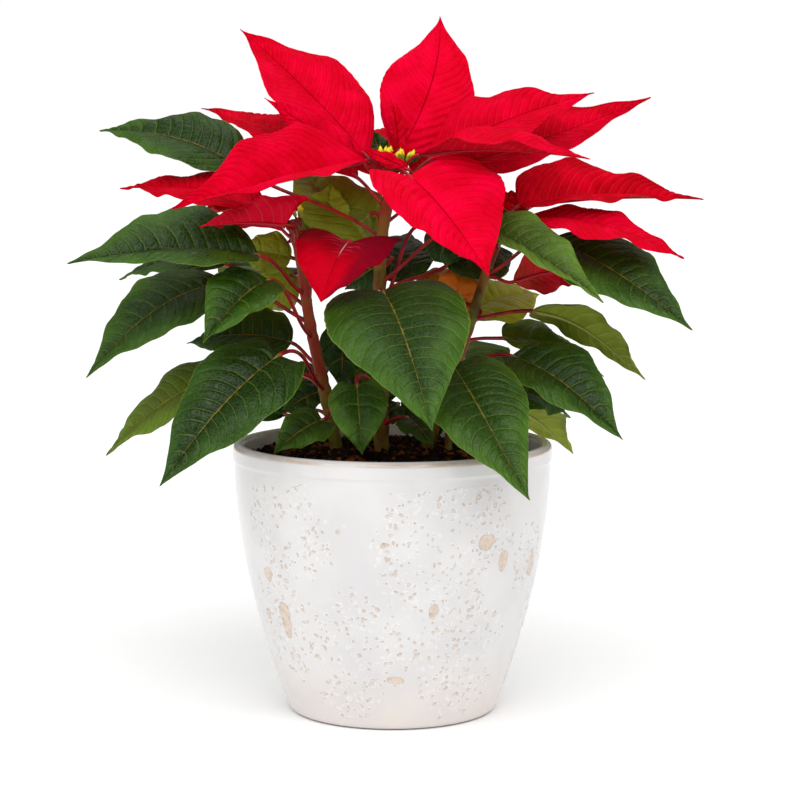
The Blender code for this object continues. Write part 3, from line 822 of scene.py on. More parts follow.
def make_stem(name, stem, look, node):
    """Bark of a stem, thicker where a leaf stalk leaves it."""
    bottom, top = stem.points[0][2] * MM, stem.points[-1][2] * MM
    heights = np.linspace(bottom, top, math.ceil((top - bottom) / BARK_STEP))
    joints = [blade.height for blade in BRACTS + LEAVES + YOUNG_BLADES if blade.stem is stem]
    turns = np.arange(BARK_SIDES) * FULL_TURN / BARK_SIDES
    draw = random.Random(name)
    phases = [draw.uniform(0, FULL_TURN) for _ in range(4)]
    points = []
    for z in heights:
        axis = stem_direction(stem, z)
        side = unit(np.cross(axis, (0.0, 1.0, 0.0)))
        front = np.cross(axis, side)
        swollen = sum(JOINT_SWELL * math.exp(-((z - joint) / JOINT_REACH) ** 2) for joint in joints)
        ribs = sum(
            height * np.sin(count * turns + phase + twist * z)
            for phase, (height, count, twist) in zip(phases, RIBS)
        )
        rings = sum(height * math.sin(pace * z + phase) for phase, (height, pace) in zip(phases[2:], RINGS))
        radius = stem_radius(stem, z) * (1 + min(swollen, MOST_JOINT_SWELL) + ribs + rings)
        points.append(ring(stem_axis(stem, z), side, front, radius[:, None], turns))
    mesh = bpy.data.meshes.new(name)
    faces = [face[::-1] for face in tube_faces(len(heights), BARK_SIDES, 0)]
    mesh.from_pydata(np.concatenate(points).tolist(), [], faces)
    mesh.materials.append(look)
    mesh.shade_smooth()
    mesh.set_sharp_from_angle(angle=BARK_SHARP)
    hand_over(name + "_bark", mesh, node)


def stem_bark():
    look = Look("stem_bark", Specular_IOR_Level=0.22)
    spot = look.place()
    x, y, z = look.parts(spot)
    long_spot = look.combine(x, y, z * 0.35)
    blotch = look.noise(long_spot, 120, 4).smooth(0.35, 0.65)
    skin = look.mix(blotch, color(74, 48, 12), color(122, 84, 26))
    green = look.noise(spot, 60, 2).smooth(0.42, 0.62)
    skin = look.mix(green * 0.75, skin, color(112, 116, 36))
    left_side = 1 - x.smooth(-0.05, -0.02)
    red = (look.noise(spot, 42, 2) + left_side * 0.12).smooth(0.42, 0.62) * z.smooth(0.15, 0.2)
    skin = look.mix(red * 0.85, skin, color(142, 34, 24))
    skin = look.mix(z.smooth(0.235, 0.29) * 0.6, skin, color(150, 36, 28))
    pores = look.cells(long_spot, 420).smooth(0.1, 0.3)
    look.raise_by(look.noise(long_spot, 500, 4) * 0.25 + pores * 0.08)
    look.paint(skin, 0.5)
    return look.material


# Pot

def pot_rule(z):
    """Outside radius at a height, on the body and the collar, from sockets."""
    foot = POT_HEIGHT - COLLAR_HEIGHT
    share = (z / foot).between(0.0, 1.0)
    full = POT_RADIUS - COLLAR_STEP - FOOT_RADIUS
    body = FOOT_RADIUS + full * (1 - (1 - share) ** BODY_BULGE)
    return body + z.smooth(foot, foot + 2.5 * COLLAR_STEP) * COLLAR_STEP


# Small pits: how ragged, how close together, and what share of a group's places they take
PIT_RAGGEDNESS = 0.0045
PITS_PER_METRE = 300
PIT_SHARE = 0.97


def pits(tree, spot):
    """Small pits that lie in groups and rings, and a few large sores: three masks from 0 to 1."""
    x, y, z = tree.parts(spot)
    turn = x.math("ARCTAN2", y * -1).math("WRAP", math.pi / 2, -math.pi / 2)
    ragged = tree.noise(spot, 190.0, 1.0, "Color")
    fine = tree.vector("ADD", spot, tree.scaled(ragged, PIT_RAGGEDNESS))
    bend = (tree.noise(spot, 60, 3) - 0.5) * 0.9
    ripple = (tree.noise(spot, 190, 2) - 0.5) * 1.1
    reach = 0.5 * (POT_RADIUS + FOOT_RADIUS) / MM
    height = z / MM

    def distance(angle, level, half_width, half_height):
        across = (turn - math.radians(angle)) * (reach / half_width)
        along = (height - level) / half_height
        return (across * across + along * along).math("SQRT")

    crowd, large = 0.0, tree.noise(spot, 75, 1).smooth(0.745, 0.76)
    for angle, level, half_width, half_height, bare in PIT_GROUPS:
        out = distance(angle, level, half_width, half_height) + bend
        group = (1 - out.smooth(0.85, 1.3)) * (1 - bare * (1 - out.smooth(0.2, 0.6)))
        crowd = group.math("MAXIMUM", crowd)
    large = large * crowd.smooth(0.4, 0.6)
    for angle, level, half_width, half_height in SORES:
        out = distance(angle, level, half_width, half_height) + ripple
        large = (1 - out.smooth(0.88, 1.0)).math("MAXIMUM", large)
    allowed = height.smooth(2, 8) * (1 - height.smooth(134, 138))
    apart = tree.cells(fine, PITS_PER_METRE)
    tint = tree.cells(fine, PITS_PER_METRE, "Color")
    chance = tree.random(tint)
    girth = 0.20 + 0.24 * tree.random(tree.vector("MULTIPLY", tint, (7.0, 7.0, 7.0))).math("FRACT")
    there = (crowd * allowed * PIT_SHARE - chance).smooth(0.0, 0.03)
    small = (1 - (apart / girth).smooth(0.6, 1.0)) * there
    halo = (1 - (apart / girth).smooth(1.0, 1.8)) * there - small
    return small, large, halo


def pot_glaze():
    look = Look("pot_glaze", Coat_Weight=0.35, Coat_Roughness=0.12, Specular_IOR_Level=0.5)
    spot = look.place()
    x, y, z = look.parts(spot)
    small, large, halo = pits(look, spot)
    outside = look.attribute("outside")
    small, large, halo = small * outside, large * outside, halo * outside
    cloud = look.noise(spot, 28, 3)
    glaze = look.mix(cloud.smooth(0.35, 0.7), color(212, 210, 210), color(221, 219, 218))
    glaze = look.mix((1 - z.smooth(0.0, 0.045)) * cloud * 0.7, glaze, color(222, 202, 188))
    # A lighter ring round each pit: partly whiter glaze, partly a painted highlight on the raised rim.
    glaze = look.mix(halo * 0.5, glaze, color(234, 232, 231))
    tan = look.mix(look.noise(spot, 160, 2).smooth(0.4, 0.62), color(220, 204, 190), color(202, 176, 154))
    glaze = look.mix(small * 0.62, glaze, tan)
    rim = large * (1 - large) * 4
    sore = look.mix(look.noise(spot, 420, 3).smooth(0.35, 0.65), color(222, 200, 180), color(206, 184, 164))
    glaze = look.mix(large * 0.8, glaze, sore)
    glaze = look.mix(rim * 0.6, glaze, color(196, 168, 142))
    wear = look.noise(look.combine(x, y, z * 3), 42, 4).smooth(0.38, 0.62)
    down = (POT_HEIGHT - z) / MM
    corner = (1 - down.smooth(2.2, 3.2)) * down.smooth(0.5, 1.2)
    glaze = look.mix(corner * (0.10 + wear * 0.55), glaze, color(186, 150, 114))
    glaze = look.mix((1 - outside) * (1 - z.smooth(0.146, 0.149)) * 0.7, glaze, color(186, 172, 156))
    # Painted contact shadow: the glaze turns dark brown in the lowest millimetre of the foot.
    glaze = look.mix((1 - z.smooth(0.0004, 0.0010)), glaze, color(96, 80, 70))
    grain = look.noise(spot, 300, 2)
    look.raise_by(small * -0.30 + large * -0.25 + halo * 0.10 + cloud * 0.25 + grain * 0.01)
    look.paint(glaze, 0.22 + small * 0.3 + large * 0.35)
    return look.material


def new_tree(name, inputs):
    """Geometry tree with named inputs; gives back its group, the tree and its inputs' values."""
    group = bpy.data.node_groups.new(name, "GeometryNodeTree")
    group.interface.new_socket("Mesh", in_out="OUTPUT", socket_type="NodeSocketGeometry")
    for label, kind in inputs.items():
        group.interface.new_socket(label, in_out="INPUT", socket_type="NodeSocket" + kind)
    tree = Tree(group)
    entry = tree.nodes.new("NodeGroupInput")
    values = {label: Value(tree, entry.outputs[label]) for label in inputs}
    return group, tree, values


def grow(name, group, settings):
    """Mesh that a geometry tree makes with these inputs."""
    carrier = bpy.data.objects.new(name, bpy.data.meshes.new(name + "_seed"))
    bpy.context.scene.collection.objects.link(carrier)
    modifier = carrier.modifiers.new(name, "NODES")
    modifier.node_group = group
    for item in group.interface.items_tree:
        if item.in_out == "INPUT":
            modifier[item.identifier] = settings[item.name]
    graph = bpy.context.evaluated_depsgraph_get()
    mesh = bpy.data.meshes.new_from_object(carrier.evaluated_get(graph))
    carrier.modifiers.clear()
    bpy.data.objects.remove(carrier)
    return mesh


def close_tree(tree, shape, look):
    """Realize, material and smooth shading, and the way out of the tree."""
    real = tree.node("GeometryNodeRealizeInstances", {"Geometry": shape})
    smooth = tree.node("GeometryNodeSetShadeSmooth", {"Geometry": real})
    dressed = tree.node("GeometryNodeSetMaterial", {"Geometry": smooth, "Material": look})
    way_out = tree.nodes.new("NodeGroupOutput")
    tree.feed(way_out.inputs[0], dressed)


# Divisions of the turned pot round its axis and along its profile, and the depth of its pits
POT_SIDES = 380
POT_ROWS = {"base": 8, "body": 96, "collar": 16, "lip": 14, "inner": 22, "floor": 6}
PIT_DEPTH = 0.0004
SMALL_PIT, SORE, HALO = 0.4, 0.8, 0.2
MERGE_DISTANCE = 0.00002


def make_pot():
    """Turned pot: a grid whose rows run from the middle of the base, over the lip, to the inner floor."""
    inputs = {"Sides": "Int", "Material": "Material", "Pit depth": "Float"}
    group, tree, given = new_tree("turned pot", inputs)
    total = sum(POT_ROWS.values())
    grid = tree.node("GeometryNodeMeshGrid", {
        "Size X": 1.0, "Size Y": 1.0, "Vertices X": given["Sides"] + 1, "Vertices Y": total + 1})
    x, y, _ = tree.parts(tree.node("GeometryNodeInputPosition"))
    turn = (x + 0.5) * FULL_TURN
    path = y + 0.5
    share, start = {}, 0
    for part, count in POT_ROWS.items():
        share[part] = path.between(start / total, (start + count) / total)
        start += count
    foot = POT_HEIGHT - COLLAR_HEIGHT
    lip = POT_HEIGHT - WALL / 2
    level = share["body"] * foot + share["collar"] * (lip - foot)
    level = level - share["inner"] * (lip - FLOOR_THICKNESS)
    half_turn = share["lip"] * math.pi
    z = level + half_turn.math("SINE") * (WALL / 2)
    outside = pot_rule(level) - (1 - half_turn.math("COSINE")) * (WALL / 2)
    rounding = (1 - (level / FOOT_ROUNDING).between(0.0, 1.0)) ** 2 * FOOT_ROUNDING
    rounding = rounding * (1 - share["inner"].math("CEIL"))
    radius = (outside - rounding) * share["base"] * (1 - share["floor"])
    hollow = (1 - share["body"].math("CEIL")) * (1 - share["base"].smooth(0.72, 0.84)) * FOOT_HOLLOW

    def at(reach):
        return tree.combine(turn.math("COSINE") * reach, turn.math("SINE") * reach, z + hollow)

    small, large, halo = pits(tree, at(radius))
    skin = share["body"].smooth(0.0, 0.02) * (1 - share["lip"].smooth(0.0, 0.3))
    dent = (small * SMALL_PIT + large * SORE - halo * HALO) * skin * given["Pit depth"]
    turned = tree.node("GeometryNodeSetPosition", {"Geometry": grid, "Position": at(radius - dent)})
    marked = tree.mark(turned, "outside", 1 - share["lip"].smooth(0.45, 0.75))
    closed = tree.node("GeometryNodeMergeByDistance", {"Geometry": marked, "Distance": MERGE_DISTANCE})
    close_tree(tree, closed, given["Material"])
    mesh = grow("pot", group, {"Sides": POT_SIDES, "Material": pot_glaze(), "Pit depth": PIT_DEPTH})
    hand_over("pot_glazed", mesh, "pot")


def soil_crumb():
    look = Look("soil_crumb", Specular_IOR_Level=0.2)
    spot = look.place()
    tint = look.attribute("tint")
    dark = look.mix(look.noise(spot, 400, 3).smooth(0.35, 0.65), color(20, 10, 6), color(44, 24, 12))
    chip = look.mix(tint.smooth(0.72, 1.0), dark, color(122, 66, 30))
    look.raise_by(look.noise(spot, 1500, 3) * 0.3)
    look.paint(chip, 0.9)
    return look.material


# Slab of mix and its chips, with the gap that stays between the slab and the pot
SLAB_DEPTH = 0.02
SLAB_SIDES = 96
SLAB_RINGS = 36
LUMP_HEIGHT = 0.006
CHIPS_PER_SQUARE_METRE = 90000.0
CHIP_SIZE = (0.0075, 0.0036, 0.0016)
CHIP_RAGGEDNESS = 0.0022
CHIP_TURNS = ((-0.6, -0.6, 0.0), (0.6, 0.6, FULL_TURN))
CHIP_SCALES = ((0.35, 0.4, 0.5), (1.25, 1.2, 1.4))
SOIL_GAP = 0.0004


def make_soil():
    """Lumpy slab of potting mix that fills the pot, with bark chips strewn over it."""
    inputs = {"Radius": "Float", "Level": "Float", "Chips": "Float", "Seed": "Int", "Material": "Material"}
    group, tree, given = new_tree("bark chips", inputs)
    slab = tree.node("GeometryNodeMeshCylinder", {
        "Vertices": SLAB_SIDES, "Side Segments": 1, "Fill Segments": SLAB_RINGS,
        "Radius": given["Radius"], "Depth": SLAB_DEPTH}, "Mesh", fill_type="TRIANGLE_FAN")
    place = tree.node("GeometryNodeInputPosition")
    x, y, z = tree.parts(place)
    out = (x * x + y * y).math("SQRT") / given["Radius"]
    lumps = tree.noise(place, 90, 3) - 0.5
    mound = (1 - out * out) * SOIL_MOUND + lumps * LUMP_HEIGHT * (1 - out.smooth(0.93, 1.0))
    top = z.smooth(0.005, 0.009)
    lift = tree.combine(0.0, 0.0, mound * top + given["Level"] - SLAB_DEPTH / 2)
    lifted = tree.node("GeometryNodeSetPosition", {"Geometry": slab, "Offset": lift})
    up = tree.parts(tree.node("GeometryNodeInputNormal"))[2].math("GREATER_THAN", 0.5)
    sown = tree.node("GeometryNodeDistributePointsOnFaces", {
        "Mesh": lifted, "Selection": up, "Density": given["Chips"], "Seed": given["Seed"]}, "Points")
    chip = tree.node("GeometryNodeMeshCube", {
        "Size": CHIP_SIZE, "Vertices X": 4, "Vertices Y": 3, "Vertices Z": 2}, "Mesh")
    laid = tree.node("GeometryNodeInstanceOnPoints", {
        "Points": sown, "Instance": chip,
        "Rotation": tree.draw(given["Seed"], *CHIP_TURNS),
        "Scale": tree.draw(given["Seed"] + 1, *CHIP_SCALES)})
    tinted = tree.mark(laid, "tint", tree.draw(given["Seed"] + 2), "INSTANCE")
    real = tree.node("GeometryNodeRealizeInstances", {"Geometry": tinted})
    ragged = tree.noise(place, 350.0, 2.0, "Color")
    shift = tree.scaled(tree.vector("SUBTRACT", ragged, (0.5, 0.5, 0.5)), CHIP_RAGGEDNESS)
    rough = tree.node("GeometryNodeSetPosition", {"Geometry": real, "Offset": shift})
    joined = tree.nodes.new("GeometryNodeJoinGeometry")
    for part in (lifted, rough):
        tree.links.new(part.socket, joined.inputs[0])
    close_tree(tree, Value(tree, joined.outputs[0]), given["Material"])
    mesh = grow("soil", group, {
        "Radius": POT_RADIUS - COLLAR_STEP - WALL - SOIL_GAP, "Level": SOIL_LEVEL,
        "Chips": CHIPS_PER_SQUARE_METRE, "Seed": 3, "Material": soil_crumb()})
    mesh.set_sharp_from_angle(angle=SOIL_SHARP)
    hand_over("soil_chips", mesh, "soil")


# Parts of a flower head, as the numbers that its material tells them apart by
BUD, GLAND, THREAD, CUSHION = 0.0, 1.0, 2.0, 3.0

# Each part's kind, segments, rings, how much slimmer it is at the top, place on the bud, and radii
BUD_PARTS = [
    (BUD, 16, 14, 0.12, (0.0, 0.0, 0.0004), (0.0018, 0.0018, 0.0042)),
    (CUSHION, 8, 8, 0.0, (0.0, 0.0, -0.0054), (0.0010, 0.0010, 0.0036)),
    (GLAND, 12, 8, 0.1, (0.0017, 0.0, 0.0018), (0.0006, 0.0012, 0.0006)),
    (THREAD, 6, 5, 0.3, (0.0003, 0.0002, 0.0045), (0.00018, 0.00018, 0.0010)),
    (GLAND, 6, 5, 0.3, (-0.0003, -0.0002, 0.0045), (0.00028, 0.00028, 0.0008)),
]

# Flower heads: how buds lie and differ, in metres and as shares of the head's spread
BUD_LEVEL = 0.0078
BUD_JITTER = 0.0014
BUD_SCALES = (0.7, 1.1)
BUD_TILT = 45
HEAD_WIDTH = 0.55
HEAD_DEPTH = 0.8
HEAD_ROUNDING = 0.40
CUSHION_WIDTH = 0.62
CUSHION_HEIGHT = 0.0026
CUSHION_LEVEL = 0.0006

# The node's ending, the stem, the number of buds and how far they spread
FLOWER_HEADS = [("top", "centre", 9, 0.0095), ("left", "left", 5, 0.0065), ("right", "right", 5, 0.0065)]


def bud_skin():
    look = Look("bud_skin", Specular_IOR_Level=0.4)
    along = look.attribute("along")
    kind = look.attribute("kind")
    spot = look.place()
    green = look.mix(look.noise(spot, 500, 2).smooth(0.3, 0.7), color(112, 128, 20), color(158, 166, 30))
    skin = look.mix(along.smooth(0.45, 0.8), green, color(240, 224, 40))
    skin = look.mix(1 - along.smooth(0.02, 0.25), skin, color(140, 40, 26))
    paints = {GLAND: color(250, 206, 24), THREAD: color(206, 60, 30), CUSHION: color(128, 26, 16)}
    for part, paint in paints.items():
        skin = look.mix(kind.smooth(part - 0.6, part - 0.4), skin, paint)
    look.raise_by(look.noise(spot, 900, 2) * 0.06)
    look.paint(skin, 0.42)
    return look.material


def egg(tree, segments, rings, waist, kind):
    """Ball whose girth changes with height, marked with how far up each point is and with its kind."""
    values = {"Segments": segments, "Rings": rings, "Radius": 1.0}
    ball = tree.node("GeometryNodeMeshUVSphere", values, "Mesh")
    x, y, z = tree.parts(tree.node("GeometryNodeInputPosition"))
    slim = 1 - (z + 1) * waist
    shaped = tree.node("GeometryNodeSetPosition", {
        "Geometry": ball, "Position": tree.combine(x * slim, y * slim, z)})
    return tree.mark(tree.mark(shaped, "along", (z + 1) * 0.5), "kind", kind)


def make_flower_heads():
    """Buds with their glands and threads, in a spiral on a cushion at the top of each stem."""
    inputs = {"Buds": "Int", "Spread": "Float", "Place": "Vector", "Turn": "Vector", "Seed": "Int",
              "Material": "Material"}
    group, tree, given = new_tree("flower head", inputs)
    line = tree.node("GeometryNodeMeshLine", {"Count": given["Buds"], "Offset": (0.0, 0.0, 0.0)})
    index = tree.node("GeometryNodeInputIndex")
    out = ((index + 0.3) / given["Buds"]).math("SQRT") * given["Spread"]
    angle = index * GOLDEN_ANGLE
    jitter = tree.draw(given["Seed"], -BUD_JITTER, BUD_JITTER)
    group_shift = (index.math("MODULO", 2.0) - 0.5) * given["Spread"]
    wide = angle.math("COSINE") * out * HEAD_WIDTH + group_shift
    deep = angle.math("SINE") * out * HEAD_DEPTH
    place = tree.combine(wide, deep, BUD_LEVEL - out * HEAD_ROUNDING + jitter)
    spread = tree.node("GeometryNodeSetPosition", {"Geometry": line, "Position": place})
    tilt = tree.combine(0.0, out * BUD_TILT, angle)
    size = tree.draw(given["Seed"] + 1, *BUD_SCALES)
    joined = tree.nodes.new("GeometryNodeJoinGeometry")
    for kind, segments, rings, waist, shift, radii in BUD_PARTS:
        shape = egg(tree, segments, rings, waist, kind)
        moved = tree.node("GeometryNodeTransform", {"Geometry": shape, "Translation": shift, "Scale": radii})
        laid = tree.node("GeometryNodeInstanceOnPoints", {
            "Points": spread, "Instance": moved, "Rotation": tilt, "Scale": size})
        tree.links.new(laid.socket, joined.inputs[0])
    wide = given["Spread"] * CUSHION_WIDTH
    cushion = tree.node("GeometryNodeTransform", {
        "Geometry": egg(tree, 28, 16, -0.12, CUSHION), "Translation": (0.0, 0.0, CUSHION_LEVEL),
        "Scale": tree.combine(wide, wide, CUSHION_HEIGHT)})
    tree.links.new(cushion.socket, joined.inputs[0])
    whole = tree.node("GeometryNodeTransform", {
        "Geometry": Value(tree, joined.outputs[0]), "Translation": given["Place"], "Rotation": given["Turn"]})
    close_tree(tree, whole, given["Material"])
    look = bud_skin()
    for seed, (name, stem, buds, spread) in enumerate(FLOWER_HEADS):
        height = STEMS[stem].points[-1][2] * MM
        axis = Vector(stem_direction(STEMS[stem], height))
        turn = Vector((0, 0, 1)).rotation_difference(axis).to_euler()
        mesh = grow("cyathia", group, {
            "Buds": buds, "Spread": spread, "Place": tuple(stem_axis(STEMS[stem], height)),
            "Turn": tuple(turn), "Seed": seed * 7 + 1, "Material": look})
        hand_over("cyathia_" + name + "_buds", mesh, "cyathia_" + name)


BRACTS = [
    Blade("bract_top_1", "centre", 292, (-14, 5, 307), (-86, 45, 378), 56, (0.35, -0.8, 0.5), 0.03, 20),
    Blade("bract_top_2", "centre", 294, (3, 17, 307), (27, 62, 386), 54, (0.1, -1.0, 0.5), 0.08, 10,
          bend=0.07),
    Blade("bract_top_3", "centre", 290, (20, 4, 305), (113, 30, 342), 49, (-0.1, -0.6, 0.8), 0.05, 20),
    Blade("bract_top_4", "centre", 282, (21, 12, 299), (148, 62, 340), 52, (-0.1, -0.6, 0.8), -0.03, 14,
          skew=0.18),
    Blade("bract_top_5", "centre", 287, (14, -11, 308), (105, -43, 306), 46, (0.0, -0.2, 1.0), 0.04, 30),
    Blade("bract_top_6", "centre", 294, (9, -30, 297), (50, -82, 246), 66, (0.2, -0.8, 0.6), 0.03, 12,
          bend=-0.02, kind="wing", skew=0.22),
    Blade("bract_top_7", "centre", 289, (-14, -8, 305), (-115, -70, 281), 64, (-0.1, -0.7, 0.8), 0.0, 42),
    Blade("bract_top_8", "centre", 285, (-18, -3, 305), (-70, -7, 339), 20, (0.1, -0.9, 0.45), 0.0, 10),
    Blade("bract_top_9", "centre", 279, (-19, 6, 295), (-112, 90, 334), 46, (0.0, -0.3, 1.0), 0.05, 12),
    Blade("bract_top_10", "centre", 275, (-4, 18, 294), (-30, 118, 320), 60, (0.0, -0.2, 1.0), 0.08, 12),
    Blade("bract_top_11", "centre", 270, (15, 16, 288), (68, 104, 322), 46, (0.0, -0.1, 1.0), 0.06, 12),
    Blade("bract_left_1", "left", 262, (-69, -14, 277), (-153, 28, 289), 48, (0.0, -0.35, 0.95), 0.06, 16),
    Blade("bract_left_2", "left", 260, (-57, -39, 271), (-101, -62, 271), 46, (0.0, 0.5, 0.85), 0.04, 26,
          kind="delta"),
    Blade("bract_left_3", "left", 250, (-23.5, -45, 262), (-37, -84, 233), 55, (-0.13, -0.7, 0.7), 0.08, 8,
          kind="arrow"),
    Blade("bract_left_4", "left", 256, (-60, 2, 272), (-106, 72, 272), 52, (0.0, -0.1, 1.0), 0.08, 12),
    Blade("bract_left_5", "left", 242, (-40, 8, 256), (-34, 84, 242), 46, (0.0, 0.1, 1.0), 0.08, 12),
    Blade("bract_right_1", "right", 256, (69, -6, 280), (173, 16, 283), 58, (0.0, -0.45, 0.9), 0.03, 32,
          kind="broad"),
    Blade("bract_right_2", "right", 260, (71, -9, 273), (156, -38, 253), 52, (0.0, -0.25, 1.0), 0.08, 8),
    Blade("bract_right_3", "right", 240, (67, 6, 238), (112, -2, 246), 46, (0.0, 0.6, 0.8), 0.06, 10),
    Blade("bract_right_4", "right", 263, (76, 24, 278), (132, 84, 290), 54, (0.0, -0.1, 1.0), 0.08, 12),
    Blade("bract_right_5", "right", 256, (60, 26, 272), (66, 104, 280), 52, (0.0, -0.1, 1.0), 0.08, 12),
]

LEAVES = [
    Blade("leaf_left_1", "centre", 262, (-84, 22, 300), (-167, 52, 321), 58, (0.0, -0.45, 0.9), fold=14),
    Blade("leaf_left_2", "left", 232, (-72, -38, 255), (-170, -68, 252), 60, (0.0, -0.55, 0.85),
          arch=0.06, fold=25),
    Blade("leaf_left_3", "left", 224, (-94, 30, 246), (-157, 52, 236), 50, (0.0, -0.3, 1.0)),
    Blade("leaf_left_4", "left", 216, (-92, 0, 238), (-166, -30, 188), 58, (-0.2, -0.5, 0.8), arch=0.12),
    Blade("leaf_left_5", "left", 208, (-66, -46, 242), (-98, -88, 212), 42, (0.0, -0.6, 0.8), fold=22),
    Blade("leaf_left_6", "left", 192, (-56, 6, 204), (-116, 22, 202), 52, (0.0, -0.5, 0.85)),
    Blade("leaf_left_7", "left", 184, (-84, -16, 191), (-159, -4, 142), 46, (-0.3, -0.5, 0.8)),
    Blade("leaf_left_8", "left", 178, (-60, -58, 203), (-120, -98, 139), 53, (-0.3, -1.0, 0.5),
          kind="heart"),
    Blade("leaf_left_9", "left", 166, (-38, -28, 165), (-64, -46, 149), 27, (-0.2, -0.8, 0.6), kind="heart"),
    Blade("leaf_left_10", "left", 160, (-62, 54, 158), (-98, 82, 147), 36, (0.0, -0.4, 0.9)),
    Blade("leaf_left_11", "left", 228, (-58, 36, 240), (-96, 106, 218), 60, (0.0, 0.3, 0.9)),
    Blade("leaf_left_12", "left", 174, (-55, 48, 184), (-68, 112, 162), 52, (0.0, 0.4, 0.9)),
    Blade("leaf_left_13", "left", 171, (-24, 22, 178), (0, 50, 154), 42, (0.0, -0.4, 0.9)),
    Blade("leaf_centre_1", "centre", 176, (-19, -46, 186), (-16, -60, 150), 32, (0.0, -1.0, 0.1),
          kind="heart"),
    Blade("leaf_centre_2", "centre", 222, (-5, -48, 236), (20, -132, 172), 76, (0.0, -0.7, 0.8), 0.1, 8,
          kind="heart"),
    Blade("leaf_centre_3", "centre", 238, (-15, 18, 259), (-59, 60, 299), 52, (0.2, -0.6, 0.7)),
    Blade("leaf_centre_4", "centre", 230, (30, 30, 245), (70, 64, 250), 50, (0.0, -0.6, 0.7)),
    Blade("leaf_centre_5", "centre", 216, (0, 30, 236), (10, 76, 262), 40, (0.0, -0.7, 0.7)),
    Blade("leaf_centre_6", "centre", 198, (-12, 46, 206), (-6, 84, 156), 44, (0.0, 0.7, 0.7)),
    Blade("leaf_centre_7", "centre", 158, (8, -18, 165), (22, -42, 152), 20, (0.1, -0.8, 0.6), kind="heart"),
    Blade("leaf_centre_8", "centre", 238, (43, -24, 271), (110, -74, 232), 42, (0.0, -0.4, 0.9),
          arch=0.05, fold=30),
    Blade("leaf_right_1", "right", 212, (48, 30, 222), (10, 44, 240), 40, (0.0, -0.6, 0.8)),
    Blade("leaf_right_2", "right", 242, (87, -4, 262), (159, -54, 216), 56, (0.1, -0.6, 0.9), arch=0.05),
    Blade("leaf_right_3", "right", 216, (78, 16, 221), (143, 26, 181), 56, (0.1, 0.3, 0.9), lean=-0.5),
    Blade("leaf_right_4", "right", 204, (62, 24, 205), (122, 52, 180), 50, (0.1, -0.4, 0.9)),
    Blade("leaf_right_5", "right", 188, (65, -18, 199), (123, -52, 157), 52, (0.0, -0.5, 0.9), fold=20),
    Blade("leaf_right_6", "right", 194, (32, -48, 197), (70, -112, 134), 56, (0.2, -1.0, 0.6),
          kind="heart", bend=0.03),
    Blade("leaf_right_7", "right", 176, (60, 24, 176), (102, 38, 158), 40, (0.0, -0.4, 0.9)),
    Blade("leaf_right_8", "right", 168, (52, 36, 168), (107, 82, 131), 50, (0.1, 0.3, 0.9)),
    Blade("leaf_right_9", "right", 209, (42, 42, 217), (86, 74, 226), 52, (0.0, -0.5, 0.85)),
    Blade("leaf_right_10", "right", 200, (38, 46, 200), (50, 100, 150), 54, (0.0, 0.7, 0.7)),
]

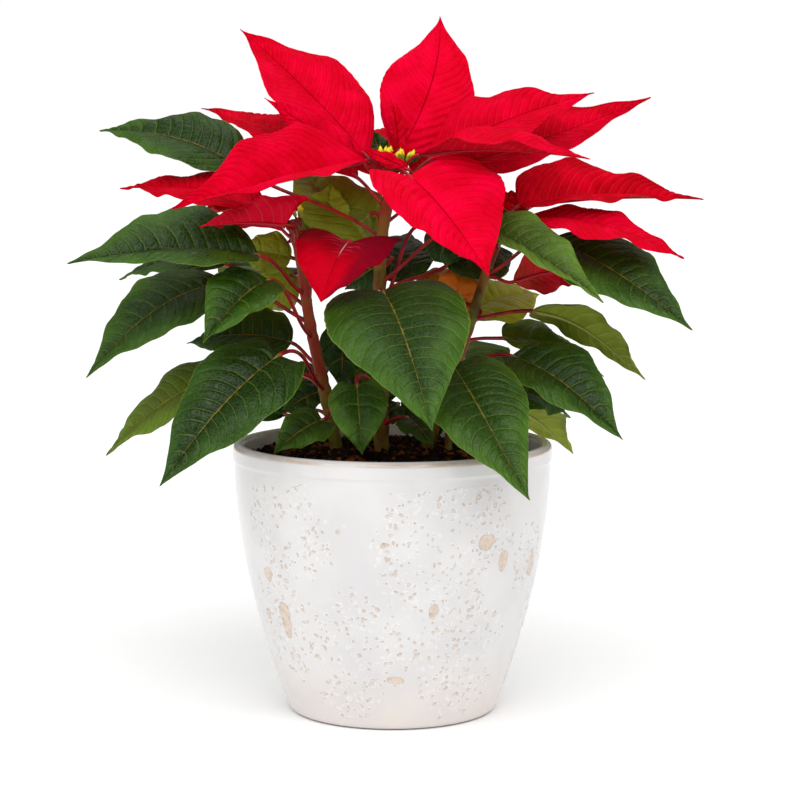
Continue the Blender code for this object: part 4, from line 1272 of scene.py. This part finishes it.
# Small bracts and leaves between the larger ones, which the solids leave out
YOUNG_BLADES = [
    Blade("bract_young_1", "centre", 296, (3, 6, 310), (-1, 12, 338), 13, (0.6, -0.7, 0.1), 0.05, 30),
    Blade("bract_young_2", "centre", 291, (9, -15, 300), (-19, -9, 312), 9, (0.1, -1.0, 0.5), 0.02, 14),
    Blade("bract_young_3", "right", 262, (60, 4, 286), (74, -4, 276), 12, (0.1, -1.0, 0.5), 0.02, 14),
    Blade("bract_young_4", "right", 266, (58, 2, 280), (61, -2, 292), 9, (0.1, -1.0, 0.5), 0.02, 14),
    Blade("young_leaf_18", "centre", 232, (-13, 24, 274), (-34, 32, 254), 26, (0.1, -0.9, 0.4)),
    Blade("young_leaf_19", "centre", 226, (20, 28, 266), (42, 36, 244), 24, (0.0, -0.9, 0.4)),
    Blade("young_leaf_20", "left", 240, (-42, 24, 272), (-54, 34, 254), 20, (0.0, -0.9, 0.4)),
    Blade("young_leaf_14", "left", 236, (-57, 30, 250), (-90, 38, 254), 26, (0.0, -0.9, 0.4)),
    Blade("young_leaf_15", "left", 214, (-54, 34, 238), (-80, 40, 222), 30, (0.0, -0.9, 0.4)),
    Blade("young_leaf_16", "centre", 288, (-6, 18, 306), (-12, 26, 322), 13, (0.0, -1.0, 0.2)),
    Blade("young_leaf_17", "centre", 287, (8, 18, 304), (14, 26, 316), 12, (0.0, -1.0, 0.2)),
    Blade("young_leaf_1", "centre", 196, (-27, 26, 214), (-29, 20, 175), 28, (0.0, -1.0, 0.2)),
    Blade("young_leaf_2", "left", 170, (-40, 26, 175), (-64, 22, 162), 19, (0.0, -0.8, 0.6)),
    Blade("young_leaf_3", "left", 178, (-42, 40, 184), (-62, 52, 170), 22, (0.0, -0.9, 0.5)),
    Blade("young_leaf_4", "shoot_1", 164, (3, 20, 168), (-11, 6, 156), 17, (0.0, -0.9, 0.4)),
    Blade("young_leaf_5", "shoot_1", 170, (0, 24, 184), (-12, 22, 166), 19, (0.0, -0.9, 0.4)),
    Blade("young_leaf_6", "shoot_3", 160, (18, 26, 174), (5, 20, 156), 18, (0.0, -0.9, 0.4)),
    Blade("young_leaf_7", "shoot_2", 162, (30, 14, 170), (36, 4, 153), 13, (0.0, -0.9, 0.4)),
    Blade("young_leaf_8", "right", 158, (21, 40, 162), (27, 44, 146), 17, (0.0, -0.9, 0.4)),
    Blade("young_leaf_9", "centre", 242, (-2, 16, 250), (-27, 26, 232), 25, (0.0, -0.9, 0.4)),
    Blade("young_leaf_10", "right", 222, (36, 24, 229), (40, 40, 247), 24, (0.0, -1.0, 0.3), kind="heart"),
    Blade("young_leaf_11", "left", 254, (-45, 10, 265), (-52, 22, 248), 15, (0.0, -0.9, 0.4)),
    Blade("young_leaf_13", "left", 262, (-38, 24, 268), (-34, 34, 292), 26, (0.0, -0.9, 0.3)),
    Blade("young_leaf_12", "shoot_2", 167, (40, 22, 178), (58, 24, 176), 15, (0.0, -0.7, 0.6)),
]

# How light a blade is, partly its own colour and partly painted shade and light: blades that stand in shade
# are made darker, and a few shaded leaves lighter; then how far it is flushed: dark red on a bract, olive up
# to 1 on a leaf, then orange
TONES_AND_PAINTED_SHADE = {
    "bract_top_1": (0.7, 0.0), "bract_top_2": (0.8, 0.0), "bract_top_3": (0.6, 0.0),
    "bract_top_4": (0.45, 0.0), "bract_top_5": (0.7, 0.0), "bract_top_6": (0.85, 0.0),
    "bract_top_7": (0.75, 0.0), "bract_top_8": (0.85, 0.0), "bract_top_9": (0.35, 0.0),
    "bract_left_1": (0.25, 0.1), "bract_left_2": (0.8, 0.0), "bract_left_3": (0.3, 0.85),
    "bract_right_1": (0.25, 0.05), "bract_right_2": (0.6, 0.0), "bract_right_3": (0.8, 0.25),
    "leaf_left_7": (0.6, 0.15), "leaf_left_9": (0.7, 0.0), "leaf_centre_1": (0.9, 0.0),
    "leaf_centre_3": (0.9, 0.4), "leaf_centre_4": (0.2, 0.0), "leaf_centre_8": (0.9, 0.05),
    "leaf_right_1": (0.8, 1.7), "leaf_right_9": (1.0, 0.8), "young_leaf_10": (0.8, 1.8),
    "young_leaf_13": (0.9, 0.6), "young_leaf_9": (0.3, 0.0), "young_leaf_1": (0.2, 0.0),
    "bract_young_2": (0.5, 0.0), "bract_young_3": (0.1, 0.0), "bract_young_4": (0.1, 0.0),
    "young_leaf_14": (0.9, 0.5), "young_leaf_15": (0.9, 0.6), "young_leaf_18": (0.5, 0.25),
    "young_leaf_19": (0.2, 0.0), "young_leaf_20": (0.7, 0.3), "young_leaf_11": (0.7, 0.3),
    "leaf_right_3": (0.7, 0.25), "leaf_right_4": (1.0, 0.1), "leaf_right_8": (0.8, 0.35),
    "leaf_right_6": (0.6, 0.0), "leaf_left_8": (0.3, 0.0), "leaf_centre_2": (0.5, 0.0),
    "leaf_centre_5": (0.3, 0.0),
}
USUAL_TONE = (0.45, 0.0)


def make_blades():
    bract = (bract_face(), bract_back(),
             stalk_skin("bract_stalk", ((124, 8, 18), (176, 24, 28)), (168, 26, 36)))
    leaf = (leaf_face(), leaf_back(),
            stalk_skin("leaf_stalk", ((116, 8, 16), (164, 28, 24)), (138, 140, 66)))
    for blade in BRACTS + LEAVES + YOUNG_BLADES:
        node = None if blade in YOUNG_BLADES else blade.name
        make_blade(blade, bract if blade.is_bract else leaf, TONES_AND_PAINTED_SHADE.get(blade.name, USUAL_TONE), node)


# Studio

# The camera's measures in pixels are those of the photograph, and its dip is in degrees
PICTURE_PIXELS = 800.0
SENSOR_WIDTH = 36.0
FOCAL_PIXELS = 2360.9
SHIFT_PIXELS = 7.5
CAMERA_PLACE = (0.0, -1.30, 0.322)
CAMERA_DIP = 6.55
FLOOR_REACH = 12.0
FLOOR_COLOR = (0.88, 0.88, 0.88)
FLOOR_GLOW = 0.12
SKY_LIGHT, SKY_SEEN, SKY_MIRRORED = 0.55, 0.47, 0.35

# Lights: name, place, angle in degrees, and what each adds to a white card that faces it
SOFTBOXES = [
    ("key", (0.1, -1.3, 1.5), 50, 0.54), ("top", (0.1, 0.7, 1.6), 50, 0.16),
    ("left side", (-1.6, -0.7, 0.9), 40, 0.16), ("right side", (1.6, -0.7, 0.9), 40, 0.05),
]


def make_camera():
    camera = bpy.data.objects.new("camera", bpy.data.cameras.new("camera"))
    bpy.context.scene.collection.objects.link(camera)
    camera.location = CAMERA_PLACE
    camera.rotation_euler = (math.radians(90 - CAMERA_DIP), 0.0, 0.0)
    camera.data.sensor_width = SENSOR_WIDTH
    camera.data.lens = FOCAL_PIXELS * SENSOR_WIDTH / PICTURE_PIXELS
    camera.data.shift_x = SHIFT_PIXELS / PICTURE_PIXELS
    camera.data.clip_end = 100.0
    bpy.context.scene.camera = camera


def add_softbox(name, place, angle, brightness):
    """Wide soft light from the side of place."""
    data = bpy.data.lights.new(name, "SUN")
    data.angle = math.radians(angle)
    data.energy = brightness * math.pi
    light = bpy.data.objects.new(name, data)
    light.location = place
    light.rotation_euler = (-Vector(place)).to_track_quat("-Z", "Y").to_euler()
    bpy.context.scene.collection.objects.link(light)


def make_studio():
    mesh = bpy.data.meshes.new("floor")
    far = FLOOR_REACH
    corners = [(-far, -far, 0), (far, -far, 0), (far, far, 0), (-far, far, 0)]
    mesh.from_pydata(corners, [], [(0, 1, 2, 3)])
    floor = bpy.data.objects.new("floor", mesh)
    bpy.context.scene.collection.objects.link(floor)
    look = Look("studio_floor", Roughness=0.9, Specular_IOR_Level=0.1)
    look.paint(FLOOR_COLOR)
    look.feed(look.shader.inputs["Emission Color"], (1.0, 1.0, 1.0))
    look.feed(look.shader.inputs["Emission Strength"], FLOOR_GLOW)
    mesh.materials.append(look.material)
    world = bpy.data.worlds.new("studio")
    bpy.context.scene.world = world
    world.use_nodes = True
    tree = Tree(world.node_tree)
    direct = tree.node("ShaderNodeLightPath", output="Is Camera Ray")
    mirrored = tree.node("ShaderNodeLightPath", output="Is Glossy Ray")
    background = tree.nodes["Background"].inputs
    tree.feed(background["Color"], (1.0, 1.0, 1.0))
    tree.feed(background["Strength"], SKY_LIGHT + direct * SKY_SEEN - mirrored * SKY_MIRRORED)
    for name, place, angle, brightness in SOFTBOXES:
        add_softbox(name, place, angle, brightness)


def main():
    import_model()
    bpy.context.scene.view_settings.view_transform = "Standard"
    make_camera()
    make_studio()
    make_pot()
    make_soil()
    bark = stem_bark()
    for name, stem in STEMS.items():
        make_stem("stem_" + name, stem, bark, "stem_" + name)
    for name, stem in SHOOTS.items():
        make_stem(name, stem, bark, None)
    make_flower_heads()
    make_blades()


main()
